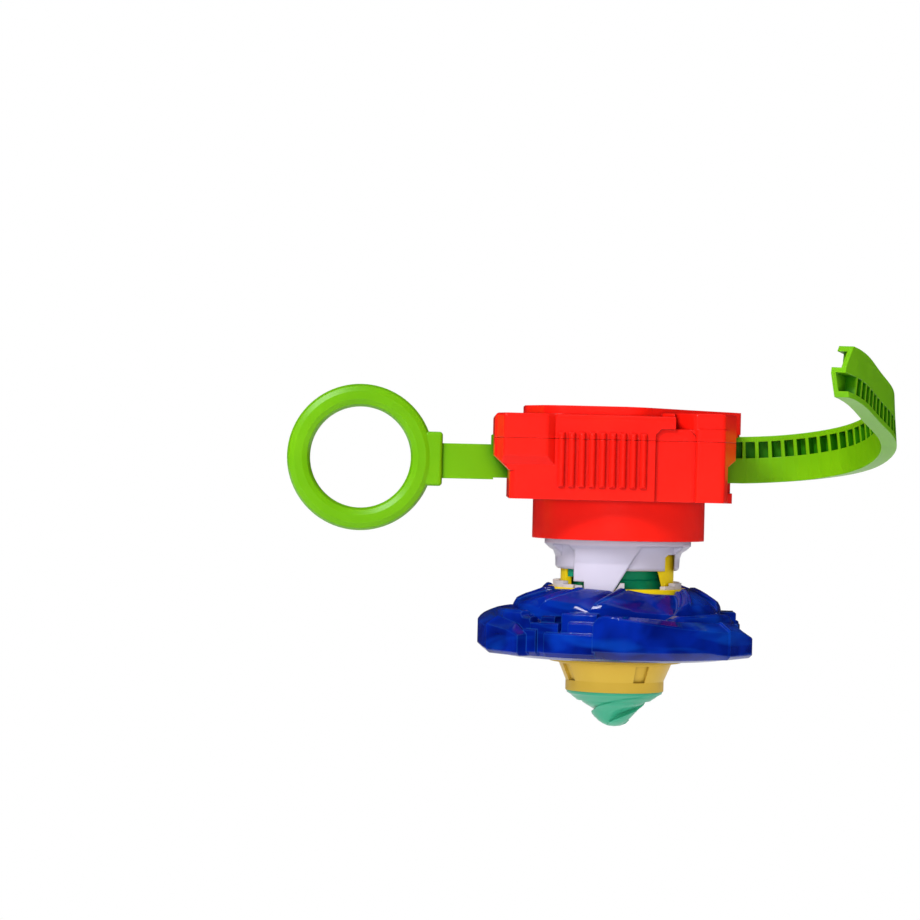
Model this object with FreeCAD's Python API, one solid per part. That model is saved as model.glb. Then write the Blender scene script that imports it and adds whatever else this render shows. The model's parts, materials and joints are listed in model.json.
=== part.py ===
"""Spinning top launcher: a red two-shell housing with a geared prong rotor, a green rack
strip that is pulled through it, and a spinning top held on the rotor's prongs.

Frame: millimetres, +Z up along the spin axis, +X along the strip towards its free end.
The origin lies on the spin axis, halfway between the finger grips."""
import FreeCAD, Part
import math
import os

os.makedirs("parts", exist_ok=True)

# ---------------------------------------------------------------- clearances
RUN_CLEAR = 0.30        # between pieces that move past each other
SHAFT_CLEAR = 0.05      # radial, spindle in its bush and pin in its bore
FIT_CLEAR = 0.02        # radial, pressed or clamped pieces
SEAT_CLEAR = 0.10       # between faces that rest on each other

# ---------------------------------------------------------------- housing
BODY_LEFT = -22.3       # left side of the shells above the shoulder
BODY_RIGHT = 19.5       # right side of the front block
TRAY_LEFT = -19.65      # left side under the shoulder
TRAY_RIGHT = 17.75      # right side under the shoulder
FRONT = -18.6           # front grip panel
REAR = 18.0             # back grip panel
BOSS_FRONT = -20.0      # raised thumb boss, front face
BOSS_RIGHT = -11.8      # raised thumb boss, right side
BLOCK_LEFT = 12.1       # right front block, left side
BLOCK_FRONT = -19.2     # right front block, front face
BLOCK_CORNER = 17.0     # where the right block's front face turns back
PARTING = 2.85          # seam between the shells
SEAM_CLEAR = 0.04
COVER_TOP = 7.06
BLOCK_TOP = 7.7
PLATE_TOP = 8.6
PLATE_FALL = 0.3        # the raised plate is this much lower at its right end
PLATE_LEFT = -17.05
PLATE_RIGHT = 21.6
PLATE_FRONT = -16.8
PLATE_REAR = 16.6
PLATE_TURN = 3.0        # where the plate's front edge turns back to its narrow right end
PLATE_END_FRONT = 4.2
LABEL_INSET = 2.2
LABEL_DEPTH = 0.55
SHOULDER = -0.2         # where the sides start to slope in
SHOULDER_DROP = 2.5
TRAY_BOTTOM = -7.55
WALL = 1.8
FLOOR = 1.6
CORNER_R = 1.2
EDGE_R = 0.7

RIB_COUNT = 9
RIB_PITCH = 1.75
RIB_WIDTH = 1.05
RIB_LEFT = -11.4
RIB_STAND = 0.8
RIB_ROUND = 0.34
RIB_BOTTOM = -5.4
RIB_TOP = 4.0

PAD_LEFT = 5.2          # smooth finger recess beside the ribs
PAD_TOP = 4.9
PAD_DEPTH = 0.8
NOTCH_LEFT = 8.6
NOTCH_DEPTH = 5.0
RAIL_REACH = 2.4        # rail and stand behind the strip's exit, past the tray's right side
RAIL_H = 1.8
RAIL_DROP = 0.25
STAND_T = 0.8

COLLAR_R = 15.15
COLLAR_WALL = 1.8
COLLAR_BOTTOM = -14.5

SCREW_LEFT = -16.5
SCREW_RIGHT_FRONT = 14.2
SCREW_RIGHT_REAR = 14.8
SCREW_Y = 14.4
SCREW_R = 1.1
SCREW_HEAD_R = 2.0
SCREW_HEAD_H = 1.3
SCREW_TIP = 5.6
POST_R = 2.5

# ---------------------------------------------------------------- strip and pinion
TOOTH_PITCH = 2.5
PINION_TEETH = 12
PITCH_R = TOOTH_PITCH * PINION_TEETH / (2.0 * math.pi)
MESH_DEPTH = 0.85       # from the strip's inner face to the pitch line
RACK_PHASE = 1.0        # x of a rack gap's middle at rest
STRIP_T = 2.6
STRIP_H = 8.28
STRIP_Z = -0.04         # mid height of the rack strip
STRIP_IN = PITCH_R - MESH_DEPTH
STRIP_MID = STRIP_IN + STRIP_T / 2.0
RUNG = 0.65
WEB = 0.85
TOP_FLANGE = 0.95
MID_FLANGE = 0.8
MID_LEVEL = -0.08       # middle flange over the strip's mid height
LOW_FLANGE = 0.9
RACK_START = -22.7
RACK_END = 16.5         # the rack passes into the free stretch inside the housing
CURL_START = 22.0       # the free stretch is straight up to here
RACK_LEAD = 1.2
NECK_TOP = 1.73
NECK_BOTTOM = -4.5
NECK_T = 2.6
NECK_END = -31.3
SHOULDER_BLOCK = 3.2
SHOULDER_TOP = 3.73
SHOULDER_LOW = -5.9
SHOULDER_T = 4.4
LOOP_R = 13.0
LOOP_BORE_R = 9.0
LOOP_T = 5.0
LOOP_ROUND = 1.3
LOOP_SINK = 1.6         # how far the loop's rim runs into the shoulder

PINION_TIP_R = 5.4
PINION_ROOT_R = 3.6
PINION_LOW = STRIP_Z + MID_LEVEL + MID_FLANGE / 2.0 + RUN_CLEAR
PINION_HIGH = STRIP_Z + STRIP_H / 2.0 - TOP_FLANGE - RUN_CLEAR
PINION_HUB_R = 3.3
PINION_HUB_LOW = -4.7

# the free stretch: heading, climb and roll in degrees at equal stations along it
CURL_STATION = 12.9
CURL_HEADING = (0.0, 34.0, 69.0, 89.0, 111.0, 110.0, 122.0)
CURL_CLIMB = (2.0, 7.0, 10.5, 15.0, 14.5, 13.5, 7.0)
CURL_ROLL = (0.0, -1.0, -2.0, -4.0, -3.5, 0.0, 2.0)
CURL_POINT = 2.2        # how far the middle of the free end stands out past its edges

# ---------------------------------------------------------------- rotor
SPINDLE_R = 2.4
SEAT_R = 1.9
SEAT_FLAT = 1.5
SPINDLE_TOP = 2.9
BUSH_R = 3.6
BUSH_TOP = -4.9
SPINDLE_HOLE_R = 0.9
SPINDLE_HOLE_DEPTH = 6.0
SPINDLE_SCREW_DEPTH = 5.8
SPINDLE_HEAD_R = 1.8
SPINDLE_HEAD_H = 1.0
WASHER_R = 3.4
WASHER_T = 0.4
ROTOR_HUB_R = 4.5
ROTOR_HUB_TOP = TRAY_BOTTOM - RUN_CLEAR
ROTOR_DISC_TOP = -13.0
FLANGE_GAP = 0.45       # between the rotor's flange and the collar
FLANGE_R = COLLAR_R - COLLAR_WALL - FLANGE_GAP
FLANGE_STAND = 2.0
FLANGE_LOW = -15.45
SKIRT_R = FLANGE_R - FLANGE_STAND
SKIRT_WALL = 0.7
SKIRT_IN = SKIRT_R - SKIRT_WALL
SKIRT_BEND = -17.6
SKIRT_BOTTOM = -19.75
SKIRT_CEILING = -16.2
PRONG_STAND = 0.5       # prong over the skirt
PRONG_R = SKIRT_R + PRONG_STAND
PRONG_SHOULDER = -18.6
PRONG_LEFT = -7.9
PRONG_STEP = -21.8
PRONG_STEP_X = -6.14
PRONG_BOTTOM = -24.0
PRONG_SLOPE_TOP = 3.6
PRONG_SLOPE_LOW = -1.53
RECESSES = ((-155.0, -134.0), (-77.0, -30.0))   # azimuths where the skirt's cone is set back
WINDOW_LEFT = 7.95      # windows in the skirt that show the posts
WINDOW_RIGHT = 9.75
WINDOW_TOP = -16.9
WINDOW_CORNER = 0.5

# ---------------------------------------------------------------- top
PLATE_RIM = 0.7         # plate past the prongs
PLATE_R = PRONG_R + PLATE_RIM
PLATE_HIGH = -22.95
PLATE_LOW = -24.4
POST_GAP = 0.25
POST_T = 1.05
POST_OUT = SKIRT_IN - POST_GAP
POST_IN = POST_OUT - POST_T
POST_A0 = -52.0
POST_A1 = 24.0
POST_HIGH = -16.6
POST_EDGE_TOP = 6.7     # the post's slanted front edge, under the skirt
POST_EDGE_LOW = 7.6     # the same edge at the plate
PLATE_BORE = POST_IN - RUN_CLEAR
CLICK_WALL = 1.8
CLICK_IN = PLATE_R - CLICK_WALL
CLICK_OUT = PLATE_R - 0.6
CLICK_LOW = -25.5
CLICK_HIGH = -21.85     # stop blocks
CLICK_STEP = -22.4      # the lower ledge beside each stop block
CLICK_BLOCKS = ((-158.0, 19.0, CLICK_HIGH), (-140.9, 14.0, CLICK_STEP),
                (-22.0, 19.0, CLICK_HIGH), (-39.1, 14.0, CLICK_STEP))
CLICK_SLOTS = ((-168.3, -133.2), (-46.8, -11.7))
GATE_START = -130.3     # azimuth where the gap for the prong begins
GATE_RIGHT = 0.85
TOOTH_START = -129.5
TOOTH_RIGHT = 0.75
TOOTH_HIGH = -22.45
RING_SCREW_AZIMUTHS = (0.0, 114.0, 180.0, 294.0)
RING_SCREW_PLACE_R = PLATE_R - CLICK_WALL / 2.0
RING_SCREW_R = 0.55
RING_SCREW_HEAD_R = 1.0
RING_SCREW_HEAD_H = 0.7
CORE_FOOT_R = PLATE_BORE - RUN_CLEAR
CORE_FOOT_STAND = 0.7
CORE_R = CORE_FOOT_R - CORE_FOOT_STAND
CORE_HIGH = -17.2
CORE_CREASE = -21.3
CORE_LOW = -23.2
CORE_KNOB_R = SKIRT_IN - RUN_CLEAR
CORE_KNOB_LOW = -21.1
CORE_KNOB_HIGH = -19.0
CORE_NECK_R = 3.4
CORE_NECK_LOW = -29.2
CORE_SCREW_R = 1.1
CORE_SCREW_HEAD_R = 2.0
CORE_SCREW_HEAD_H = 1.2
CORE_SCREW_END = -36.0
SPRING_R = 5.1
SPRING_IN = 3.7
RING_MOUTH = PLATE_R + RUN_CLEAR
RING_RIM = -23.6
RING_R = 20.4
RING_WALL = 2.4
RING_LOW = -35.2
RING_SHOULDER = -29.2
BLADE_R = 24.4
BLADE_COUNT = 3
BLADE_START = -105.0
BLADE_SPAN = 84.0
BLADE_HIGH = -27.4
BLADE_FALL = 2.4
BLADE_LOW = -34.6
BLADE_LEAN = 0.22       # outward fall of the blade's top for each mm of reach
BLADE_FACETS = 4
WING_HIGH = -26.8
WING_SPAN = 17.0
WING_SET = 1.6          # wing's outer face behind the blade's edge
WING_IN = RING_R - 1.5
WEIGHT_R = RING_R - RING_WALL
WEIGHT_HIGH = -27.4
WEIGHT_LOW = -33.5
WEIGHT_FOOT_R = 12.0
BASE_FLANGE_R = 11.6
BASE_TOP = -35.4
BASE_FLANGE_T = 0.6
BASE_R = 10.05
BASE_WAIST_R = 8.65
BASE_WAIST = -39.3
BASE_BOTTOM = -41.1
BASE_SOCKET_R = 7.0
LUG_R = CLICK_IN - 0.2
LUG_STAND = 0.7
SLEEVE_R = LUG_R - LUG_STAND
SLEEVE_WALL = 0.7
SLEEVE_IN = SLEEVE_R - SLEEVE_WALL
LEDGE_IN = SLEEVE_R + RUN_CLEAR + SEAT_CLEAR
WEIGHT_IN = SLEEVE_R + 2.0 * SEAT_CLEAR
BASE_POCKETS = (27.0, 117.0, 207.0, 297.0)
BASE_POCKET_SPAN = 15.0
BASE_POCKET_DEPTH = 0.5
LUG_SPAN = 18.0
LUG_AZIMUTHS = (10.0, 130.0, 250.0)
LUG_TURN = 60.0
TIP_R = 8.4
TIP_POINT = -47.5
TIP_BOSS_R = 6.6
TIP_STEM_R = 3.15
TIP_BAND = 0.3
TIP_WAIST_R = 5.6
TIP_WAIST = -43.4
TIP_CHEEK_R = 3.9
TIP_CHEEK = -45.0
TIP_END_R = 1.4
TIP_END_H = 0.5


# ---------------------------------------------------------------- helpers
def vec(x, y, z):
    return FreeCAD.Vector(x, y, z)


def box(x0, x1, y0, y1, z0, z1):
    return Part.makeBox(x1 - x0, y1 - y0, z1 - z0, vec(x0, y0, z0))


def cyl(radius, z0, z1, x=0.0, y=0.0):
    return Part.makeCylinder(radius, z1 - z0, vec(x, y, z0))


def tube(outer, inner, z0, z1, x=0.0, y=0.0):
    return cyl(outer, z0, z1, x, y).cut(cyl(inner, z0 - 1.0, z1 + 1.0, x, y))


def rounded_wire(corners, z):
    """Closed outline in plan; each corner is (x, y, radius)."""
    count = len(corners)
    starts = []
    ends = []
    mids = []
    for i in range(count):
        x, y, radius = corners[i]
        here = vec(x, y, z)
        before = vec(corners[i - 1][0], corners[i - 1][1], z) - here
        after = vec(corners[(i + 1) % count][0], corners[(i + 1) % count][1], z) - here
        before.normalize()
        after.normalize()
        half = before.getAngle(after) / 2.0
        reach = radius / math.tan(half)
        starts.append(here + before * reach)
        ends.append(here + after * reach)
        inward = before + after
        inward.normalize()
        mids.append(here + inward * (radius / math.sin(half) - radius))
    edges = []
    for i in range(count):
        if corners[i][2] > 0.0:
            edges.append(Part.Arc(starts[i], mids[i], ends[i]).toShape())
        edges.append(Part.LineSegment(ends[i], starts[(i + 1) % count]).toShape())
    return Part.Wire(edges)


def slab(corners, z0, z1):
    face = Part.Face(rounded_wire(corners, z0))
    return face.extrude(vec(0, 0, z1 - z0))


def front_prism(points, y0, y1):
    """Solid with a straight-sided outline of (x, z) points, run from y0 to y1."""
    wire = Part.makePolygon([vec(x, y0, z) for x, z in points + points[:1]])
    return Part.Face(wire).extrude(vec(0, y1 - y0, 0))


def side_prism(points, x0, x1):
    """Solid with a straight-sided outline of (y, z) points, run from x0 to x1."""
    wire = Part.makePolygon([vec(x0, y, z) for y, z in points + points[:1]])
    return Part.Face(wire).extrude(vec(x1 - x0, 0, 0))


def turned(points):
    """Solid of revolution about the spin axis from (radius, z) points."""
    wire = Part.makePolygon([vec(r, 0, z) for r, z in points + points[:1]])
    return Part.Face(wire).revolve(vec(0, 0, 0), vec(0, 0, 1), 360.0)


def sector(inner, outer, start, end, z0, z1):
    """Ring sector between two azimuths in degrees."""
    arc_steps = [start, (start + end) / 2.0, end]
    outer_points = [vec(outer * math.cos(math.radians(a)), outer * math.sin(math.radians(a)), z0)
                    for a in arc_steps]
    inner_points = [vec(inner * math.cos(math.radians(a)), inner * math.sin(math.radians(a)), z0)
                    for a in arc_steps]
    edges = [Part.Arc(*outer_points).toShape(),
             Part.LineSegment(outer_points[2], inner_points[2]).toShape(),
             Part.Arc(inner_points[2], inner_points[1], inner_points[0]).toShape(),
             Part.LineSegment(inner_points[0], outer_points[0]).toShape()]
    return Part.Face(Part.Wire(edges)).extrude(vec(0, 0, z1 - z0))


def turn_copy(shape, degrees):
    other = shape.copy()
    other.rotate(vec(0, 0, 0), vec(0, 0, 1), degrees)
    return other


def fuse_all(shapes):
    whole = shapes[0].multiFuse(shapes[1:])
    return whole.removeSplitter()


def save(shape, name):
    solids = len(shape.Solids)
    size = shape.BoundBox
    print(f"{name}: {solids} solid(s), {shape.Volume:.1f} mm3, valid {shape.isValid()}, "
          f"z {size.ZMin:.2f} to {size.ZMax:.2f}")
    shape.exportStep(f"parts/{name}.step")


# ---------------------------------------------------------------- shell outlines
def body_corners(inset=0.0):
    """Plan of the shells above the shoulder, without the raised thumb boss."""
    return [(BODY_LEFT + inset, FRONT + 2.6 + inset, CORNER_R),
            (BODY_LEFT + 1.9 + inset, FRONT + inset, CORNER_R),
            (BLOCK_CORNER - inset, FRONT + inset, CORNER_R),
            (BODY_RIGHT - inset, FRONT + 7.0 + inset, CORNER_R),
            (BODY_RIGHT - inset, REAR - inset, CORNER_R * 2.0),
            (BODY_LEFT + inset, REAR - inset, CORNER_R * 2.0)]


def tray_corners(inset=0.0):
    """Plan of the lower shell under the shoulder."""
    return [(TRAY_LEFT + inset, FRONT + inset, CORNER_R),
            (BLOCK_CORNER - inset, FRONT + inset, CORNER_R),
            (TRAY_RIGHT - inset, FRONT + 3.0 + inset, CORNER_R),
            (TRAY_RIGHT - inset, REAR - inset, CORNER_R * 2.0),
            (TRAY_LEFT + inset, REAR - inset, CORNER_R * 2.0)]


def plate_corners(inset=0.0):
    """Plan of the raised plate on the cover."""
    return [(PLATE_LEFT + 4.0 + inset, PLATE_FRONT + inset, 4.5),
            (PLATE_TURN - inset, PLATE_FRONT + inset, 4.5),
            (PLATE_TURN + 9.6 - inset, PLATE_END_FRONT - 9.2 + inset, 4.0),
            (PLATE_RIGHT - inset, PLATE_END_FRONT + inset, 1.0),
            (PLATE_RIGHT - inset, PLATE_REAR - inset, 3.0),
            (PLATE_LEFT + 5.0 + inset, PLATE_REAR - inset, 5.0),
            (PLATE_LEFT + inset, PLATE_REAR - 7.6 - inset, 5.0),
            (PLATE_LEFT + inset, PLATE_FRONT + 8.8 + inset, 5.0)]


SCREW_PLACES = [(SCREW_LEFT, -SCREW_Y), (SCREW_RIGHT_FRONT, -SCREW_Y),
                (SCREW_LEFT, SCREW_Y), (SCREW_RIGHT_REAR, SCREW_Y)]


def thumb_boss(z0, z1):
    corners = [(BODY_LEFT, FRONT + 3.2, 0.3), (BODY_LEFT + 1.6, BOSS_FRONT, 0.5),
               (BOSS_RIGHT - 1.5, BOSS_FRONT, 0.8), (BOSS_RIGHT, FRONT + 0.2, 0.2),
               (BOSS_RIGHT, FRONT + 3.2, 0.3)]
    return slab(corners, z0, z1)


def right_block(z0, z1, set_back=0.0):
    corners = [(BLOCK_LEFT, FRONT + 3.0, 0.3), (BLOCK_LEFT, BLOCK_FRONT + set_back, 0.5),
               (BLOCK_CORNER, BLOCK_FRONT + set_back, 0.8), (TRAY_RIGHT, FRONT + 1.6, 0.3),
               (TRAY_RIGHT, FRONT + 3.0, 0.2)]
    return slab(corners, z0, z1)


def block_head(z0):
    """Upper part of the right block: it reaches back to the side and has a slanted left wall."""
    front = BLOCK_FRONT + 0.3
    rear = FRONT + 9.0
    slant = (rear - front) * 0.9
    corners = [(BLOCK_LEFT - slant, rear, 0.3), (BLOCK_LEFT, front, 0.4), (BLOCK_CORNER, front, 0.8),
               (BODY_RIGHT, FRONT + 7.0, CORNER_R), (BODY_RIGHT, rear, 0.3)]
    return slab(corners, z0, BLOCK_TOP)


def grip_rib(x, y_face, outward, z0, z1):
    """One finger rib with bevelled edges; outward is -1 on the front and 1 on the back."""
    core = box(x, x + RIB_WIDTH, min(y_face, y_face + outward * RIB_STAND),
               max(y_face, y_face + outward * RIB_STAND), z0, z1)
    edges = []
    for edge in core.Edges:
        middle = edge.CenterOfMass
        at_face = abs(middle.y - (y_face + outward * RIB_STAND)) < 1e-6
        at_seam = abs(abs(middle.z - PARTING) - SEAM_CLEAR / 2.0) < 1e-6
        if at_face and not at_seam:
            edges.append(edge)
    return core.makeChamfer(min(RIB_ROUND, RIB_WIDTH * 0.4), edges)


def grip_ribs(z0, z1):
    ribs = []
    for i in range(RIB_COUNT):
        x = RIB_LEFT + i * RIB_PITCH
        ribs.append(grip_rib(x, FRONT, -1.0, z0, z1))
        ribs.append(grip_rib(x, REAR, 1.0, z0, z1))
    return ribs


def channel_low():
    return min(STRIP_Z - STRIP_H / 2.0, NECK_BOTTOM) - RUN_CLEAR


def strip_channel():
    """Straight way through both shells for the rack strip."""
    reach = 30.0
    return box(-reach, reach, STRIP_IN - RUN_CLEAR, STRIP_IN + STRIP_T + RUN_CLEAR,
               channel_low(), STRIP_Z + STRIP_H / 2.0 + RUN_CLEAR)


def finger_pad():
    """Shallow recess with round upper corners beside the ribs, on the front."""
    points = [(PAD_LEFT, TRAY_BOTTOM - 1.0), (BLOCK_LEFT, TRAY_BOTTOM - 1.0),
              (BLOCK_LEFT, PAD_TOP - 1.0), (BLOCK_LEFT - 1.0, PAD_TOP),
              (PAD_LEFT + 1.0, PAD_TOP), (PAD_LEFT, PAD_TOP - 1.0)]
    return front_prism(points, FRONT - 1.0, FRONT + PAD_DEPTH)


def make_upper_shell():
    seam = PARTING + SEAM_CLEAR / 2.0
    cover = slab(body_corners(), seam, COVER_TOP)
    cover = round_top(cover, COVER_TOP, EDGE_R)
    boss = round_top(thumb_boss(seam, COVER_TOP + 0.05), COVER_TOP + 0.05, 0.5)
    block = round_top(block_head(seam), BLOCK_TOP, 0.5)
    block_low = right_block(seam, PAD_TOP + 0.1)
    plate = slab(plate_corners(), seam + 1.0, PLATE_TOP)
    fall = front_prism([(0.0, PLATE_TOP), (PLATE_RIGHT + 1.0, PLATE_TOP + 1.0),
                        (PLATE_RIGHT + 1.0, PLATE_TOP - PLATE_FALL)], REAR + 5.0, FRONT - 5.0)
    plate = plate.cut(fall)
    label = slab(plate_corners(LABEL_INSET), PLATE_TOP - LABEL_DEPTH, PLATE_TOP + 1.0)
    plate = plate.cut(label)
    ribs = grip_ribs(seam, RIB_TOP)
    shell = fuse_all([cover, boss, block, block_low, plate] + ribs)
    slant_x = BLOCK_LEFT - (FRONT + NOTCH_DEPTH - BLOCK_FRONT) * 0.9
    notch = slab([(NOTCH_LEFT, BLOCK_FRONT - 1.0, 0.0), (BLOCK_LEFT, BLOCK_FRONT - 1.0, 0.0),
                  (BLOCK_LEFT, BLOCK_FRONT, 0.0), (max(slant_x, NOTCH_LEFT + 0.1), FRONT + NOTCH_DEPTH, 0.0),
                  (NOTCH_LEFT, FRONT + NOTCH_DEPTH, 0.0)], PAD_TOP, PLATE_TOP + 1.0)
    cavity = slab(body_corners(WALL), seam - 1.0, COVER_TOP - FLOOR)
    posts = [cyl(POST_R, seam, COVER_TOP - FLOOR + 0.2, x, y) for x, y in SCREW_PLACES]
    guides = [box(-18.5, 16.5, STRIP_IN + STRIP_T + RUN_CLEAR, STRIP_IN + STRIP_T + RUN_CLEAR + WALL,
                  seam, COVER_TOP - FLOOR + 0.2)]
    notch_wall = box(NOTCH_LEFT - 1.2, BLOCK_LEFT + 0.5, FRONT + 0.5, FRONT + NOTCH_DEPTH + 1.2,
                     seam, COVER_TOP - FLOOR + 0.2)
    shell = shell.cut(cavity)
    shell = fuse_all([shell, notch_wall] + posts + guides)
    shell = shell.cut(notch)
    shell = shell.cut(finger_pad())
    shell = shell.cut(strip_channel())
    for x, y in SCREW_PLACES:
        shell = shell.cut(cyl(SCREW_R + FIT_CLEAR, seam - 1.0, SCREW_TIP + 0.2, x, y))
    return shell


def round_top(shape, level, radius):
    edges = []
    for edge in shape.Edges:
        low = edge.BoundBox.ZMin
        if low > level - 1e-6:
            edges.append(edge)
    return shape.makeFillet(radius, edges)


def make_lower_shell():
    seam = PARTING - SEAM_CLEAR / 2.0
    profile = front_prism([(BODY_LEFT - 1.0, seam), (BODY_LEFT - 1.0, SHOULDER + 1.0),
                           (BODY_LEFT, SHOULDER), (TRAY_LEFT, SHOULDER - SHOULDER_DROP),
                           (TRAY_RIGHT, SHOULDER - 1.2), (BODY_RIGHT, SHOULDER),
                           (BODY_RIGHT + 1.0, SHOULDER + 1.0), (BODY_RIGHT + 1.0, seam)],
                          FRONT - 2.0, REAR + 2.0)
    shoulders = slab(body_corners(), SHOULDER - SHOULDER_DROP - 0.1, seam).common(profile)
    tray = slab(tray_corners(), TRAY_BOTTOM, seam)
    boss = thumb_boss(-1.7, seam)
    slope = side_prism([(BOSS_FRONT - 1.0, -0.15), (BOSS_FRONT, -0.15), (FRONT, -1.7),
                        (FRONT, -3.0), (BOSS_FRONT - 1.0, -3.0)], BODY_LEFT - 1.0, BOSS_RIGHT + 1.0)
    corner_slope = front_prism([(BODY_LEFT - 1.0, SHOULDER), (BODY_LEFT, SHOULDER),
                                (TRAY_LEFT, SHOULDER - SHOULDER_DROP),
                                (TRAY_LEFT, -4.0), (BODY_LEFT - 1.0, -4.0)], BOSS_FRONT - 1.0, FRONT + 4.0)
    boss = boss.cut(slope).cut(corner_slope)
    block = right_block(TRAY_BOTTOM, seam)
    rail_right = TRAY_RIGHT + RAIL_REACH
    rail_rear = STRIP_IN + STRIP_T + 3.0
    rail = box(TRAY_RIGHT - 0.5, rail_right, STRIP_IN - 1.5, rail_rear,
               TRAY_BOTTOM - RAIL_DROP, TRAY_BOTTOM - RAIL_DROP + RAIL_H)
    stand = box(rail_right - STAND_T, rail_right, STRIP_IN + STRIP_T + RUN_CLEAR, rail_rear,
                TRAY_BOTTOM, SHOULDER + 1.0)
    rear_guard = box(TRAY_RIGHT - 0.5, rail_right, rail_rear - 1.5, rail_rear, SHOULDER, SHOULDER + 1.0)
    collar = tube(COLLAR_R, COLLAR_R - COLLAR_WALL, COLLAR_BOTTOM, TRAY_BOTTOM + 0.2)
    shell = fuse_all([shoulders, tray, boss, block, rail, stand, rear_guard, collar]
                     + grip_ribs(RIB_BOTTOM, seam))
    shell = shell.cut(slab(tray_corners(WALL), TRAY_BOTTOM + FLOOR, seam + 1.0))
    posts = [cyl(POST_R, TRAY_BOTTOM + 0.2, seam, x, y) for x, y in SCREW_PLACES]
    well_wall = tube(PINION_TIP_R + 2.4, PINION_TIP_R + 1.0, TRAY_BOTTOM + 0.2, SHOULDER)
    bush_seat = cyl(BUSH_R + 1.6, TRAY_BOTTOM, BUSH_TOP)
    floor_rib = box(TRAY_LEFT + 1.0, TRAY_RIGHT - 1.0, STRIP_IN - 0.6, STRIP_IN + STRIP_T + 0.6,
                    TRAY_BOTTOM + 0.2, channel_low())
    rear_guide = box(TRAY_LEFT + 1.0, TRAY_RIGHT - 1.0, STRIP_IN + STRIP_T + RUN_CLEAR,
                     STRIP_IN + STRIP_T + RUN_CLEAR + WALL, TRAY_BOTTOM + 0.2, seam)
    shell = fuse_all([shell, well_wall, bush_seat, floor_rib, rear_guide] + posts)
    shell = shell.cut(strip_channel())
    shell = shell.cut(cyl(PINION_HUB_R + 0.6, BUSH_TOP, seam + 1.0))
    shell = shell.cut(cyl(PINION_TIP_R + 0.6, PINION_LOW - 0.5, seam + 1.0))
    shell = shell.cut(cyl(BUSH_R + FIT_CLEAR, TRAY_BOTTOM - 1.0, BUSH_TOP + 1.0))
    shell = shell.cut(finger_pad())
    for x, y in SCREW_PLACES:
        shell = shell.cut(cyl(SCREW_R + 0.15, TRAY_BOTTOM - 1.0, seam + 1.0, x, y))
        shell = shell.cut(cyl(SCREW_HEAD_R + 0.2, TRAY_BOTTOM - 1.0, TRAY_BOTTOM + SCREW_HEAD_H + 0.3, x, y))
    return shell


def screw(head_r, head_h, shank_r, z_head, z_tip, x=0.0, y=0.0):
    """Pan-head screw; z_head is the face under the head, the shank runs to z_tip."""
    way = 1.0 if z_tip > z_head else -1.0
    low = min(z_head, z_head - way * head_h)
    head = Part.makeCylinder(head_r, head_h, vec(x, y, low))
    shank = Part.makeCylinder(shank_r, abs(z_tip - z_head) + 0.05, vec(x, y, min(z_head - 0.05, z_tip)))
    slot_z = z_head - way * head_h
    slot = box(x - head_r * 0.62, x + head_r * 0.62, y - 0.22, y + 0.22, slot_z - 0.55, slot_z + 0.55)
    cross = box(x - 0.22, x + 0.22, y - head_r * 0.62, y + head_r * 0.62, slot_z - 0.55, slot_z + 0.55)
    return head.fuse(shank).cut(slot).cut(cross).removeSplitter()


# ---------------------------------------------------------------- strip
def strip_levels():
    low = -STRIP_H / 2.0
    high = STRIP_H / 2.0
    mid_high = MID_LEVEL + MID_FLANGE / 2.0
    mid_low = MID_LEVEL - MID_FLANGE / 2.0
    return low, high, mid_low, mid_high


def open_section():
    """S-shaped section as (outward, up) points: web at the back above, at the front below."""
    low, high, mid_low, mid_high = strip_levels()
    near = -STRIP_T / 2.0
    far = STRIP_T / 2.0
    return [(near, low), (far, low), (far, low + LOW_FLANGE), (near + WEB, low + LOW_FLANGE),
            (near + WEB, mid_low), (far, mid_low), (far, high), (near, high),
            (near, high - TOP_FLANGE), (far - WEB, high - TOP_FLANGE), (far - WEB, mid_high),
            (near, mid_high)]


def full_section():
    low, high, mid_low, mid_high = strip_levels()
    near = -STRIP_T / 2.0
    far = STRIP_T / 2.0
    return [(near, low), (far, low), (far, high), (near, high)]


def blend_list(values, place):
    """Smooth value at a station number along a list, through all of its entries."""
    last = len(values) - 1
    i = min(int(place), last - 1)
    t = place - i
    here = values[i]
    ahead = values[i + 1]
    slope_here = (ahead - values[i - 1]) / 2.0 if i > 0 else ahead - here
    slope_ahead = (values[i + 2] - here) / 2.0 if i + 2 <= last else ahead - here
    return (here * (2 * t**3 - 3 * t**2 + 1) + slope_here * (t**3 - 2 * t**2 + t)
            + ahead * (-2 * t**3 + 3 * t**2) + slope_ahead * (t**3 - t**2))


def curl_length():
    return CURL_STATION * (len(CURL_HEADING) - 1)


def curl_direction(s):
    place = min(s / CURL_STATION, len(CURL_HEADING) - 1.0)
    heading = math.radians(blend_list(CURL_HEADING, place))
    climb = math.radians(blend_list(CURL_CLIMB, place))
    return vec(math.cos(heading) * math.cos(climb), -math.sin(heading) * math.cos(climb), math.sin(climb))


def curl_frame(s, step=0.1):
    """Point, outward and up directions of the strip at a distance s past the housing."""
    point = vec(CURL_START, STRIP_MID, STRIP_Z)
    count = int(round(s / step))
    for i in range(count):
        point = point + curl_direction((i + 0.5) * step) * step
    if s <= 0.0:
        point = vec(CURL_START + s, STRIP_MID, STRIP_Z)
    along = curl_direction(max(s, 0.0))
    roll = math.radians(blend_list(CURL_ROLL, min(max(s, 0.0) / CURL_STATION, len(CURL_ROLL) - 1.0)))
    if s <= 0.0:
        along = vec(1, 0, 0)
        roll = 0.0
    up = vec(0, 0, 1) - along * along.z
    up.normalize()
    out = up.cross(along)
    rolled_up = up * math.cos(roll) + out * math.sin(roll)
    rolled_out = out * math.cos(roll) - up * math.sin(roll)
    return point, rolled_out, rolled_up


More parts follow.
